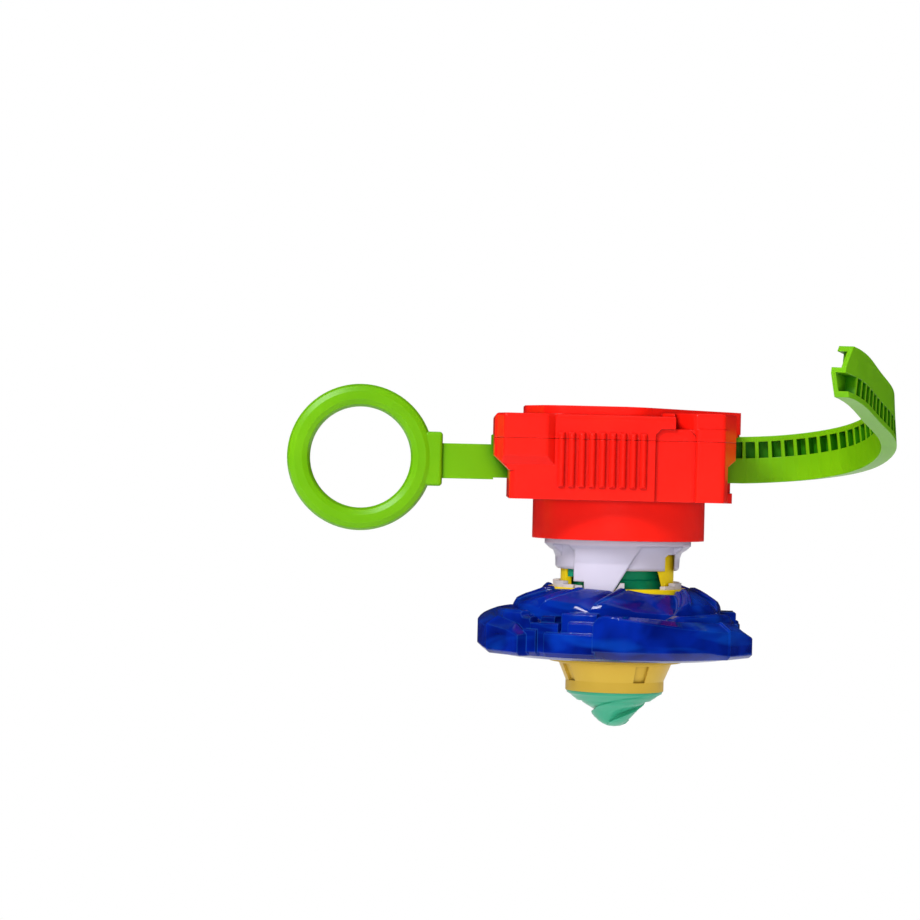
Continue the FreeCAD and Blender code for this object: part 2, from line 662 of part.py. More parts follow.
def section_wire(section, frame):
    point, out, up = frame
    corners = [point + out * n + up * w for n, w in section]
    return Part.makePolygon(corners + corners[:1])


def strip_stretch(section_a, frame_a, section_b, frame_b):
    return Part.makeLoft([section_wire(section_a, frame_a), section_wire(section_b, frame_b)], True, True)


def make_tail():
    """The free stretch: full sections at the rungs and S sections between them."""
    end = curl_length()
    last = RACK_END - CURL_START
    rung_x = RACK_PHASE + TOOTH_PITCH / 2.0
    rung_x += TOOTH_PITCH * math.ceil((RACK_END - rung_x) / TOOTH_PITCH)
    rung_middle = rung_x - CURL_START
    pieces = []
    while rung_middle + TOOTH_PITCH < end:
        start = max(rung_middle - RUNG / 2.0, last)
        stop = rung_middle + RUNG / 2.0
        if start > last:
            pieces.append(strip_stretch(open_section(), curl_frame(last), open_section(), curl_frame(start)))
        pieces.append(strip_stretch(full_section(), curl_frame(start), full_section(), curl_frame(stop)))
        last = stop
        rung_middle += TOOTH_PITCH
    pieces.append(strip_stretch(open_section(), curl_frame(last), open_section(), curl_frame(end)))
    tail = fuse_all(pieces)
    for side in (1.0, -1.0):
        tail = tail.cut(point_cutter(side))
    return tail


def point_cutter(side):
    """Wedge that leaves the free end pointed at its middle flange; side is 1 above and -1 below."""
    point, out, up = curl_frame(curl_length())
    along = curl_direction(curl_length())
    edge = side * MID_FLANGE / 2.0 + MID_LEVEL
    outline = [(0.1, edge), (-CURL_POINT, side * STRIP_H / 2.0), (-CURL_POINT, side * STRIP_H),
               (CURL_POINT, side * STRIP_H), (CURL_POINT, edge)]
    corners = [point + along * a + up * w - out * STRIP_H for a, w in outline]
    return Part.Face(Part.makePolygon(corners + corners[:1])).extrude(out * (2.0 * STRIP_H))


def make_strip():
    """Straight rack from the neck to the housing's exit, neck, shoulder and finger loop."""
    y0 = STRIP_MID - STRIP_T / 2.0
    y1 = STRIP_MID + STRIP_T / 2.0
    low, high, mid_low, mid_high = strip_levels()
    rack = box(RACK_START, RACK_END, y0, y1, STRIP_Z + low, STRIP_Z + high)
    lead_end = RACK_START + RACK_LEAD
    lead = front_prism([(RACK_START - 1.0, STRIP_Z + high + 1.0), (RACK_START - 1.0, NECK_TOP + 1.0),
                        (lead_end, STRIP_Z + high), (lead_end, STRIP_Z + high + 1.0)], y0 - 1.0, y1 + 1.0)
    rack = rack.cut(lead)
    pockets = []
    first_gap = RACK_PHASE - TOOTH_PITCH * math.floor((RACK_PHASE - RACK_START) / TOOTH_PITCH)
    gap = first_gap + TOOTH_PITCH
    while gap - TOOTH_PITCH / 2.0 < RACK_END:
        x0 = gap - (TOOTH_PITCH - RUNG) / 2.0
        x1 = min(gap + (TOOTH_PITCH - RUNG) / 2.0, RACK_END)
        if x1 > x0 + 0.05:
            end = x1 + (1.0 if x1 >= RACK_END else 0.0)
            pockets.append(box(x0, end, y0 - 1.0, y1 - WEB, STRIP_Z + mid_high, STRIP_Z + high - TOP_FLANGE))
            pockets.append(box(x0, end, y0 + WEB, y1 + 1.0, STRIP_Z + low + LOW_FLANGE, STRIP_Z + mid_low))
        gap += TOOTH_PITCH
    rack = rack.cut(Part.makeCompound(pockets))
    neck = box(NECK_END - 0.5, RACK_START + 0.5, STRIP_MID - NECK_T / 2.0, STRIP_MID + NECK_T / 2.0,
               NECK_BOTTOM, NECK_TOP)
    block = box(NECK_END - SHOULDER_BLOCK, NECK_END, STRIP_MID - SHOULDER_T / 2.0,
                STRIP_MID + SHOULDER_T / 2.0, SHOULDER_LOW, SHOULDER_TOP)
    block = block.makeFillet(0.6, block.Edges)
    loop_x = NECK_END - SHOULDER_BLOCK - LOOP_R + LOOP_SINK
    loop_z = (SHOULDER_LOW + SHOULDER_TOP) / 2.0
    half = LOOP_T / 2.0
    near = LOOP_ROUND * 0.3
    outline = [(LOOP_BORE_R, LOOP_ROUND - half), (LOOP_BORE_R + near, near - half),
               (LOOP_BORE_R + LOOP_ROUND, -half), (LOOP_R - LOOP_ROUND, -half), (LOOP_R - near, near - half),
               (LOOP_R, LOOP_ROUND - half)]
    outline = outline + [(r, -t) for r, t in reversed(outline)]
    points = [vec(loop_x + r, STRIP_MID + t, loop_z) for r, t in outline]
    section = Part.Face(Part.makePolygon(points + points[:1]))
    ring = section.revolve(vec(loop_x, STRIP_MID, loop_z), vec(0, 1, 0), 360.0)
    return fuse_all([rack, neck, block, ring])


# ---------------------------------------------------------------- rotor
def make_pinion():
    points = []
    flank = ((PINION_ROOT_R, 0.74), (4.3, 0.53), (4.9, 0.40), (PINION_TIP_R, 0.18))
    turn = math.pi / 2.0 - RACK_PHASE / PITCH_R
    for i in range(PINION_TEETH):
        middle = turn + i * 2.0 * math.pi / PINION_TEETH
        for radius, half in flank:
            angle = middle - half / radius
            points.append((radius * math.cos(angle), radius * math.sin(angle), 0.0))
        for radius, half in reversed(flank):
            angle = middle + half / radius
            points.append((radius * math.cos(angle), radius * math.sin(angle), 0.0))
    wire = Part.makePolygon([vec(x, y, PINION_LOW) for x, y, unused in points + points[:1]])
    teeth = Part.Face(wire).extrude(vec(0, 0, PINION_HIGH - PINION_LOW))
    hub = cyl(PINION_HUB_R, PINION_HUB_LOW, PINION_LOW + 0.1)
    gear = teeth.fuse(hub).removeSplitter()
    bore = cyl(SEAT_R + FIT_CLEAR, PINION_HUB_LOW - 1.0, PINION_HIGH + 1.0)
    bore = bore.cut(box(SEAT_FLAT + FIT_CLEAR, 5.0, -5.0, 5.0, PINION_HUB_LOW - 2.0, PINION_HIGH + 2.0))
    return gear.cut(bore)


def prong_right(z):
    """X of the prong's slanted edge at a height."""
    rise = (z - PRONG_BOTTOM) / (FLANGE_LOW - PRONG_BOTTOM)
    return PRONG_SLOPE_LOW + (PRONG_SLOPE_TOP - PRONG_SLOPE_LOW) * rise


def make_rotor():
    body = turned([(0.0, ROTOR_HUB_TOP), (ROTOR_HUB_R, ROTOR_HUB_TOP), (ROTOR_HUB_R, ROTOR_DISC_TOP),
                   (FLANGE_R - 0.5, ROTOR_DISC_TOP), (FLANGE_R, ROTOR_DISC_TOP - 0.5),
                   (FLANGE_R, FLANGE_LOW), (FLANGE_R - 0.8, FLANGE_LOW - 0.75),
                   (SKIRT_R + 0.45, SKIRT_BEND + 0.95), (SKIRT_R + 0.08, SKIRT_BEND),
                   (SKIRT_R, SKIRT_BOTTOM + 0.4), (SKIRT_R - 0.3, SKIRT_BOTTOM),
                   (SKIRT_IN, SKIRT_BOTTOM), (SKIRT_IN, SKIRT_CEILING), (0.0, SKIRT_CEILING)])
    spindle = cyl(SPINDLE_R, ROTOR_HUB_TOP - 0.5, PINION_HUB_LOW - SHAFT_CLEAR)
    seat = cyl(SEAT_R, PINION_HUB_LOW - 0.5, SPINDLE_TOP)
    seat = seat.cut(box(SEAT_FLAT, 5.0, -5.0, 5.0, PINION_HUB_LOW, SPINDLE_TOP + 1.0))
    prong_top = FLANGE_LOW + 0.2
    prong_face = front_prism([(PRONG_LEFT, prong_top), (prong_right(prong_top), prong_top),
                              (PRONG_SLOPE_LOW, PRONG_BOTTOM), (PRONG_STEP_X, PRONG_BOTTOM),
                              (PRONG_STEP_X, PRONG_STEP), (PRONG_LEFT, PRONG_STEP)], -20.0, 0.0)
    prong = turned([(SKIRT_IN, PRONG_BOTTOM), (PRONG_R, PRONG_BOTTOM), (PRONG_R, PRONG_SHOULDER),
                    (FLANGE_R - 0.3, prong_top), (SKIRT_IN, prong_top)]).common(prong_face)
    window = front_prism([(WINDOW_LEFT, SKIRT_BOTTOM - 1.0), (WINDOW_LEFT, WINDOW_TOP - WINDOW_CORNER),
                          (WINDOW_LEFT + WINDOW_CORNER, WINDOW_TOP), (WINDOW_RIGHT, WINDOW_TOP),
                          (WINDOW_RIGHT, SKIRT_BOTTOM - 1.0)], -20.0, -2.0)
    body = body.cut(window).cut(turn_copy(window, 180.0))
    for start, end in RECESSES:
        recess = sector(SKIRT_R + 0.1, FLANGE_R + 1.0, start, end, SKIRT_BEND - 0.1, FLANGE_LOW)
        body = body.cut(recess).cut(turn_copy(recess, 180.0))
    body = fuse_all([body, prong, turn_copy(prong, 180.0), spindle, seat])
    hole = cyl(SPINDLE_HOLE_R, SPINDLE_TOP - SPINDLE_HOLE_DEPTH, SPINDLE_TOP + 1.0)
    return body.cut(hole)


def make_spindle_bush():
    return tube(BUSH_R, SPINDLE_R + SHAFT_CLEAR, TRAY_BOTTOM, BUSH_TOP)


def washer_low():
    return PINION_HIGH + SEAT_CLEAR


def make_spindle_washer():
    return tube(WASHER_R, SPINDLE_HOLE_R + SEAT_CLEAR, washer_low(), washer_low() + WASHER_T)


def make_spindle_screw():
    seat = washer_low() + WASHER_T + SHAFT_CLEAR
    return screw(SPINDLE_HEAD_R, SPINDLE_HEAD_H, SPINDLE_HOLE_R - FIT_CLEAR, seat,
                 SPINDLE_TOP - SPINDLE_SCREW_DEPTH)


# ---------------------------------------------------------------- top
def gate(start, right, z0, z1):
    """Gap from a radial side to a flat one, where the prong goes through; front half only."""
    sweep = sector(SKIRT_IN - RUN_CLEAR, PLATE_R + 1.0, start, -80.0, z0 - 1.0, z1 + 1.0)
    return sweep.common(box(-20.0, right, -20.0, 0.0, z0, z1))


def make_frame_plate():
    plate = tube(PLATE_R, PLATE_BORE, PLATE_LOW, PLATE_HIGH)
    post = sector(POST_IN, POST_OUT, POST_A0, POST_A1, PLATE_LOW, POST_HIGH)
    edge = [(0.0, PLATE_HIGH), (POST_EDGE_LOW, PLATE_HIGH), (POST_EDGE_TOP, SKIRT_BOTTOM),
            (POST_EDGE_TOP, POST_HIGH + 1.0), (0.0, POST_HIGH + 1.0)]
    post = post.cut(front_prism(edge, -20.0, 0.0))
    body = fuse_all([plate, post, turn_copy(post, 180.0)])
    slots = [gate(GATE_START, GATE_RIGHT, PLATE_LOW - 1.0, PLATE_HIGH + 1.0)]
    for start, end in CLICK_SLOTS:
        slots.append(sector(CLICK_IN - SEAT_CLEAR, CLICK_OUT + SEAT_CLEAR, start, end,
                            PLATE_LOW - 1.0, PLATE_HIGH + 1.0))
    for slot in slots:
        body = body.cut(slot).cut(turn_copy(slot, 180.0))
    for x, y in ring_screw_places():
        body = body.cut(cyl(RING_SCREW_R + FIT_CLEAR, PLATE_LOW - 1.0, PLATE_HIGH - 0.3, x, y))
    return body


def ring_screw_places():
    places = []
    for azimuth in RING_SCREW_AZIMUTHS:
        a = math.radians(azimuth)
        places.append((RING_SCREW_PLACE_R * math.cos(a), RING_SCREW_PLACE_R * math.sin(a)))
    return places


def ledge_low():
    return WEIGHT_HIGH + SEAT_CLEAR


def ring_screw_seat():
    return ledge_low() + RING_SCREW_HEAD_H + SEAT_CLEAR


def make_ring_screws():
    """Four screws from under the ledge, through the click ring, into the frame plate."""
    return Part.makeCompound([screw(RING_SCREW_HEAD_R, RING_SCREW_HEAD_H, RING_SCREW_R, ring_screw_seat(),
                                    PLATE_HIGH - 0.4, x, y) for x, y in ring_screw_places()])


def click_teeth():
    """The two small teeth beside the prong, in the gap of the plate."""
    whole = tube(PLATE_R, CLICK_IN, CLICK_LOW, CLICK_HIGH)
    left = gate(TOOTH_START, PRONG_STEP_X - RUN_CLEAR, CLICK_LOW, TOOTH_HIGH)
    low = prong_right(PRONG_BOTTOM) + RUN_CLEAR
    high = prong_right(CLICK_HIGH) + RUN_CLEAR
    right = front_prism([(low, CLICK_LOW), (low, PRONG_BOTTOM), (high, CLICK_HIGH),
                         (TOOTH_RIGHT, CLICK_HIGH), (TOOTH_RIGHT, CLICK_LOW)], -20.0, 0.0)
    return [whole.common(left), whole.common(right)]


def make_click_ring():
    body = tube(PLATE_R, CLICK_IN, CLICK_LOW, PLATE_LOW - SEAT_CLEAR)
    blocks = click_teeth()
    for middle, span, high in CLICK_BLOCKS:
        blocks.append(sector(CLICK_IN, CLICK_OUT, middle - span / 2.0, middle + span / 2.0, CLICK_LOW, high))
    blocks = blocks + [turn_copy(block, 180.0) for block in blocks]
    ring = fuse_all([body] + blocks)
    for x, y in ring_screw_places():
        ring = ring.cut(cyl(RING_SCREW_R + SEAT_CLEAR, CLICK_LOW - 1.0, PLATE_LOW + 1.0, x, y))
    return ring


def make_lock_core():
    body = turned([(0.0, CORE_HIGH), (CORE_R - 1.0, CORE_HIGH), (CORE_R, CORE_HIGH - 0.8),
                   (CORE_R, CORE_CREASE), (CORE_R + 0.3, CORE_CREASE - 0.25), (CORE_FOOT_R, CORE_LOW + 0.3),
                   (CORE_FOOT_R, CORE_LOW), (CORE_NECK_R, CORE_LOW), (CORE_NECK_R, CORE_NECK_LOW),
                   (0.0, CORE_NECK_LOW)])
    knob = sector(CORE_R - 1.5, CORE_KNOB_R, -152.8, -144.0, CORE_KNOB_LOW, CORE_KNOB_HIGH)
    body = fuse_all([body, knob, turn_copy(knob, 180.0)])
    body = body.cut(cyl(CORE_SCREW_R + FIT_CLEAR, CORE_NECK_LOW - 1.0, CORE_HIGH + 1.0))
    return body.cut(cyl(CORE_SCREW_HEAD_R + SEAT_CLEAR, core_screw_seat() - SHAFT_CLEAR, CORE_HIGH + 1.0))


def core_screw_seat():
    return CORE_HIGH - CORE_SCREW_HEAD_H - 0.2


def make_core_screw():
    return screw(CORE_SCREW_HEAD_R, CORE_SCREW_HEAD_H, CORE_SCREW_R, core_screw_seat(), CORE_SCREW_END)


def make_core_spring():
    return tube(SPRING_R, SPRING_IN, BASE_TOP + SEAT_CLEAR, CORE_LOW - SEAT_CLEAR)


def make_blade(start):
    """One blade: straight outer facets, a top that falls along it, and a raised wing at its end."""
    outer = []
    for i in range(BLADE_FACETS + 1):
        a = math.radians(start + BLADE_SPAN * i / BLADE_FACETS)
        reach = BLADE_R - (1.0 if i == 0 else 0.0) - (0.5 if i == BLADE_FACETS else 0.0)
        outer.append(vec(reach * math.cos(a), reach * math.sin(a), BLADE_LOW))
    inner = []
    for i in range(BLADE_FACETS, -1, -1):
        a = math.radians(start + BLADE_SPAN * i / BLADE_FACETS)
        inner.append(vec(WING_IN * math.cos(a), WING_IN * math.sin(a), BLADE_LOW))
    points = outer + inner
    blade = Part.Face(Part.makePolygon(points + points[:1])).extrude(vec(0, 0, BLADE_HIGH - BLADE_LOW))
    middle = math.radians(start + BLADE_SPAN / 2.0)
    along = vec(-math.sin(middle), math.cos(middle), 0.0)
    chord = 2.0 * BLADE_R * math.sin(math.radians(BLADE_SPAN / 2.0))
    centre = vec(BLADE_R * math.cos(middle), BLADE_R * math.sin(middle), BLADE_HIGH - BLADE_FALL / 2.0)
    outward = vec(math.cos(middle), math.sin(middle), 0.0)
    slope = along * chord + vec(0, 0, -BLADE_FALL)
    slope.normalize()
    lean = outward * 1.0 + vec(0, 0, -BLADE_LEAN)
    lean.normalize()
    normal = slope.cross(lean)
    if normal.z < 0.0:
        normal = normal * -1.0
    cutter = Part.makeBox(80.0, 80.0, 20.0, vec(-40.0, -40.0, 0.0))
    cutter.Placement = FreeCAD.Placement(centre, FreeCAD.Rotation(vec(0, 0, 1), normal)).multiply(
        cutter.Placement)
    blade = blade.cut(cutter)
    wing = sector(WING_IN, BLADE_R - WING_SET, start + BLADE_SPAN - WING_SPAN, start + BLADE_SPAN,
                  BLADE_LOW, WING_HIGH)
    return blade.fuse(wing)


def lug(radius, turn, extra, z0, z1):
    """Three bayonet lugs, or the matching notches, as separate solids."""
    half = LUG_SPAN / 2.0 + extra
    lugs = []
    for azimuth in LUG_AZIMUTHS:
        a = azimuth + turn
        lugs.append(sector(SLEEVE_R - 0.2, radius, a - half, a + half, z0, z1))
    return lugs


def make_blade_ring():
    seat = CLICK_LOW - SEAT_CLEAR
    recess = WEIGHT_R + SEAT_CLEAR
    body = turned([(LEDGE_IN, seat), (RING_MOUTH, seat), (RING_MOUTH, RING_RIM),
                   (RING_MOUTH + 0.7, RING_RIM),
                   (RING_MOUTH + 3.6, RING_RIM - 1.4), (WING_IN - 0.5, RING_RIM - 3.0),
                   (WING_IN - 0.3, RING_SHOULDER + 0.6), (RING_R, RING_SHOULDER),
                   (RING_R + 1.0, RING_SHOULDER - 1.0), (RING_R + 1.0, RING_LOW + 1.6),
                   (RING_R - 1.0, RING_LOW), (recess, RING_LOW), (recess, ledge_low()),
                   (LEDGE_IN, ledge_low())])
    blades = [make_blade(BLADE_START + i * 360.0 / BLADE_COUNT) for i in range(BLADE_COUNT)]
    ring = fuse_all([body] + blades)
    for notch in lug(LUG_R + RUN_CLEAR, LUG_TURN, 2.0, ledge_low() - 1.0, seat + 0.1):
        ring = ring.cut(notch)
    for x, y in ring_screw_places():
        ring = ring.cut(cyl(RING_SCREW_R + SEAT_CLEAR, ledge_low() - 1.0, seat + 1.0, x, y))
        ring = ring.cut(cyl(RING_SCREW_HEAD_R + SEAT_CLEAR, ledge_low() - 1.0,
                            ring_screw_seat() + FIT_CLEAR, x, y))
    return ring


def make_weight_ring():
    return turned([(WEIGHT_IN, WEIGHT_HIGH), (WEIGHT_R, WEIGHT_HIGH), (WEIGHT_R, WEIGHT_LOW),
                   (WEIGHT_FOOT_R + 1.5, WEIGHT_LOW), (WEIGHT_FOOT_R, BASE_TOP + SEAT_CLEAR),
                   (WEIGHT_IN, BASE_TOP + SEAT_CLEAR)])


def make_base():
    bore = TIP_STEM_R + SHAFT_CLEAR
    sleeve_top = PLATE_LOW - SEAT_CLEAR
    body = turned([(bore, BASE_TOP), (SLEEVE_IN, BASE_TOP), (SLEEVE_IN, sleeve_top), (SLEEVE_R, sleeve_top),
                   (SLEEVE_R, BASE_TOP), (BASE_FLANGE_R, BASE_TOP),
                   (BASE_FLANGE_R, BASE_TOP - BASE_FLANGE_T),
                   (BASE_R, BASE_TOP - BASE_FLANGE_T), (BASE_WAIST_R, BASE_WAIST),
                   (BASE_WAIST_R, BASE_BOTTOM), (BASE_SOCKET_R, BASE_BOTTOM), (BASE_SOCKET_R, BASE_WAIST),
                   (bore, BASE_WAIST)])
    pocket_top = BASE_TOP - BASE_FLANGE_T
    for azimuth in BASE_POCKETS:
        pocket = sector(BASE_WAIST_R - BASE_POCKET_DEPTH, BASE_R + 1.0, azimuth - BASE_POCKET_SPAN / 2.0,
                        azimuth + BASE_POCKET_SPAN / 2.0, BASE_WAIST, pocket_top - 0.4)
        shelf = turned([(BASE_SOCKET_R, BASE_WAIST), (BASE_WAIST_R - BASE_POCKET_DEPTH, BASE_WAIST),
                        (BASE_R - BASE_POCKET_DEPTH, pocket_top), (BASE_SOCKET_R, pocket_top)])
        body = body.cut(pocket.cut(shelf))
    return fuse_all([body] + lug(LUG_R, 0.0, 0.0, CLICK_LOW, sleeve_top))


def make_tip():
    top = BASE_BOTTOM - SEAT_CLEAR
    body = turned([(0.0, CORE_NECK_LOW - SEAT_CLEAR), (TIP_STEM_R, CORE_NECK_LOW - SEAT_CLEAR),
                   (TIP_STEM_R, BASE_WAIST - RUN_CLEAR), (TIP_BOSS_R, BASE_WAIST - RUN_CLEAR),
                   (TIP_BOSS_R, top),
                   (TIP_R, top), (TIP_R, top - TIP_BAND), (TIP_WAIST_R, TIP_WAIST), (TIP_CHEEK_R, TIP_CHEEK),
                   (TIP_END_R, TIP_POINT + TIP_END_H), (0.5, TIP_POINT), (0.0, TIP_POINT)])
    return body.cut(cyl(CORE_SCREW_R + FIT_CLEAR, CORE_SCREW_END - 0.3, CORE_NECK_LOW + 1.0))


def make_housing_screws():
    under_head = TRAY_BOTTOM + SCREW_HEAD_H + 0.3
    return Part.makeCompound([screw(SCREW_HEAD_R, SCREW_HEAD_H, SCREW_R, under_head, SCREW_TIP, x, y)
                              for x, y in SCREW_PLACES])


NODES = {
    "upper_shell": make_upper_shell, "lower_shell": make_lower_shell, "housing_screws": make_housing_screws,
    "rip_strip": make_strip, "rip_strip_tail": make_tail, "pinion": make_pinion, "rotor": make_rotor,
    "spindle_bush": make_spindle_bush, "spindle_washer": make_spindle_washer,
    "spindle_screw": make_spindle_screw, "frame_plate": make_frame_plate, "click_ring": make_click_ring,
    "ring_screws": make_ring_screws, "blade_ring": make_blade_ring, "weight_ring": make_weight_ring,
    "base": make_base, "lock_core": make_lock_core, "core_spring": make_core_spring,
    "core_screw": make_core_screw, "tip": make_tip}

for name, make in NODES.items():
    save(make(), name)
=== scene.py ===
# %% [markdown]
# # Spinning top launcher
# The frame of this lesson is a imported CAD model: every solid is already in its place, in metres.
# The steps below dress it: a camera and a bright studio first, then one finish for each plastic,
# and then the pieces whose moulded shapes are too free for plain solids.

# %% Load the frame
import json
import math
import bmesh
import bpy
from mathutils import Matrix, Vector


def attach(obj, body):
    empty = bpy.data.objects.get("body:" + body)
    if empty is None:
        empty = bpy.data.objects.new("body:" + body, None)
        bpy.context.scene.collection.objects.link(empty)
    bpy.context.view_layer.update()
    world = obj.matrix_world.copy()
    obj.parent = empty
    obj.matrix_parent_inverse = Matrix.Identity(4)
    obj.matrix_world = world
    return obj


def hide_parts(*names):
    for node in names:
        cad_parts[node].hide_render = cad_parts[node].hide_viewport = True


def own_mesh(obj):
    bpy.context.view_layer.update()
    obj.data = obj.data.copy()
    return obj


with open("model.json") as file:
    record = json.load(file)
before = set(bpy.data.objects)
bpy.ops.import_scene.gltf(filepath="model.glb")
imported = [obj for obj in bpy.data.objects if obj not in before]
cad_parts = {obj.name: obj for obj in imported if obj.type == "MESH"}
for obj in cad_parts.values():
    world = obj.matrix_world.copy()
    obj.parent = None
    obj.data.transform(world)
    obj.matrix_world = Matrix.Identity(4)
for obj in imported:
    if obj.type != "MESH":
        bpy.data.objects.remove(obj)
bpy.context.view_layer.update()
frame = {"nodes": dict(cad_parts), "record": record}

# %% [markdown]
# ## Camera
# The toy was photographed from straight in front with a long lens, tipped by a little over a
# degree. A long lens keeps the strip's far and near ends close to the same scale, so the camera
# stands more than half a metre away.

# %% Place the camera
LENS_MM = 129.13
CAMERA_PLACE = (-0.02816, -0.582, -0.0012)
CAMERA_TIP = math.radians(1.36)
SENSOR_MM = 36.0

camera_data = bpy.data.cameras.new("studio_camera")
camera_data.sensor_width = SENSOR_MM
camera_data.lens = LENS_MM
camera_data.clip_start = 0.01
camera_data.clip_end = 20.0
camera = bpy.data.objects.new("studio_camera", camera_data)
camera.matrix_world = Matrix((
    (math.cos(CAMERA_TIP), -math.sin(CAMERA_TIP), 0.0, CAMERA_PLACE[0]),
    (0.0, 0.0, -1.0, CAMERA_PLACE[1]),
    (math.sin(CAMERA_TIP), math.cos(CAMERA_TIP), 0.0, CAMERA_PLACE[2]),
    (0.0, 0.0, 0.0, 1.0)))
bpy.context.scene.collection.objects.link(camera)
bpy.context.scene.camera = camera
bpy.context.scene.view_settings.view_transform = "Standard"
print("lens", LENS_MM, "mm")

# %% [markdown]
# ## Studio
# Product pictures of toys use a white sweep. Here the white comes from what the camera, mirrors
# and glass see, while the light that falls on the toy stays at a plain level, so colours render
# about as they are written. One soft box above and in front gives the plastic its gloss. Two more
# only fill the shadows: gloss and clear plastic don't see them.


# %% Studio helpers
def seen_white(tree, dim_colour, dim_strength, surface):
    """White for camera, glossy and transmission rays; a plain light level for everything else."""
    path = tree.nodes.new("ShaderNodeLightPath")
    add_gloss = tree.nodes.new("ShaderNodeMath")
    add_gloss.operation = "MAXIMUM"
    add_glass = tree.nodes.new("ShaderNodeMath")
    add_glass.operation = "MAXIMUM"
    tree.links.new(path.outputs["Is Camera Ray"], add_gloss.inputs[0])
    tree.links.new(path.outputs["Is Glossy Ray"], add_gloss.inputs[1])
    tree.links.new(add_gloss.outputs[0], add_glass.inputs[0])
    tree.links.new(path.outputs["Is Transmission Ray"], add_glass.inputs[1])
    white = tree.nodes.new("ShaderNodeBackground" if surface == "world" else "ShaderNodeEmission")
    white.inputs[0].default_value = (1.0, 1.0, 1.0, 1.0)
    white.inputs[1].default_value = 1.0
    if surface == "world":
        plain = tree.nodes.new("ShaderNodeBackground")
        plain.inputs[0].default_value = dim_colour
        plain.inputs[1].default_value = dim_strength
    else:
        plain = tree.nodes.new("ShaderNodeBsdfDiffuse")
        plain.inputs[0].default_value = dim_colour
    mix = tree.nodes.new("ShaderNodeMixShader")
    tree.links.new(add_glass.outputs[0], mix.inputs[0])
    tree.links.new(plain.outputs[0], mix.inputs[1])
    tree.links.new(white.outputs[0], mix.inputs[2])
    return mix


def soft_box(name, place, aim, width, height, watts):
    light_data = bpy.data.lights.new(name, "AREA")
    light_data.shape = "RECTANGLE"
    light_data.size = width
    light_data.size_y = height
    light_data.energy = watts
    light = bpy.data.objects.new(name, light_data)
    light.location = place
    light.rotation_euler = (Vector(aim) - Vector(place)).to_track_quat("-Z", "Y").to_euler()
    bpy.context.scene.collection.objects.link(light)
    return light


# %% World and soft boxes
WORLD_LEVEL = 0.26
# name, place, aim, width, height, watts, seen in gloss
SOFT_BOXES = (("key_box", (-0.34, -0.50, 0.44), (0.0, 0.0, -0.01), 0.26, 0.20, 4.4, True),
              ("front_box", (-0.10, -0.95, 0.05), (0.0, 0.0, -0.02), 0.40, 0.30, 3.0, False),
              ("side_box", (0.46, 0.14, 0.20), (0.05, 0.0, -0.01), 0.30, 0.30, 0.9, False))

world = bpy.data.worlds.new("white_studio")
world.use_nodes = True
world.node_tree.nodes.clear()
world_out = world.node_tree.nodes.new("ShaderNodeOutputWorld")
world_mix = seen_white(world.node_tree, (1.0, 1.0, 1.0, 1.0), WORLD_LEVEL, "world")
world.node_tree.links.new(world_mix.outputs[0], world_out.inputs[0])
bpy.context.scene.world = world
for *settings, seen in SOFT_BOXES:
    box = soft_box(*settings)
    box.visible_glossy = seen
    box.visible_transmission = seen
print("world level", WORLD_LEVEL)

# %% [markdown]
# A photographer keeps white walls from fogging glossy plastic with black cards: they stand round
# the table, out of the picture, and only the plastic's gloss sees them. Then upright faces keep
# their full colour, and only faces that look nearly straight up or down still catch the white.

# %% Black cards
CARD_PROFILE = ((0.85, -0.5), (0.85, 0.46), (0.50, 1.05))
CARD_COUNT = 24
CARD_BLACK = (0.02, 0.02, 0.02, 1.0)
CARD_ROUGHNESS = 0.9

card_bm = bmesh.new()
card_foot = bmesh.ops.create_circle(card_bm, cap_ends=False, segments=CARD_COUNT,
                                    radius=CARD_PROFILE[0][0])
bmesh.ops.translate(card_bm, verts=card_foot["verts"], vec=(0.0, 0.0, CARD_PROFILE[0][1]))
card_rim = card_bm.edges[:]
for (near_r, near_z), (far_r, far_z) in zip(CARD_PROFILE, CARD_PROFILE[1:]):
    card_rise = bmesh.ops.extrude_edge_only(card_bm, edges=card_rim)
    card_top = [item for item in card_rise["geom"] if isinstance(item, bmesh.types.BMVert)]
    bmesh.ops.scale(card_bm, verts=card_top, vec=(far_r / near_r, far_r / near_r, 1.0))
    bmesh.ops.translate(card_bm, verts=card_top, vec=(0.0, 0.0, far_z - near_z))
    card_rim = [edge for edge in card_bm.edges if all(vert in card_top for vert in edge.verts)]
card_mesh = bpy.data.meshes.new("black_cards")
card_bm.to_mesh(card_mesh)
card_bm.free()
card = bpy.data.objects.new("black_cards", card_mesh)
bpy.context.scene.collection.objects.link(card)
card_material = bpy.data.materials.new("black_card")
card_material.use_nodes = True
card_shader = card_material.node_tree.nodes["Principled BSDF"]
card_shader.inputs["Base Color"].default_value = CARD_BLACK
card_shader.inputs["Roughness"].default_value = CARD_ROUGHNESS
card_mesh.materials.append(card_material)
card.visible_camera = False
card.visible_diffuse = False
card.visible_transmission = False
card.visible_shadow = False
print("cards:", CARD_COUNT)

# %% Floor
FLOOR_LEVEL = -0.10
FLOOR_REACH = 3.0
FLOOR_GREY = (0.9, 0.9, 0.9, 1.0)

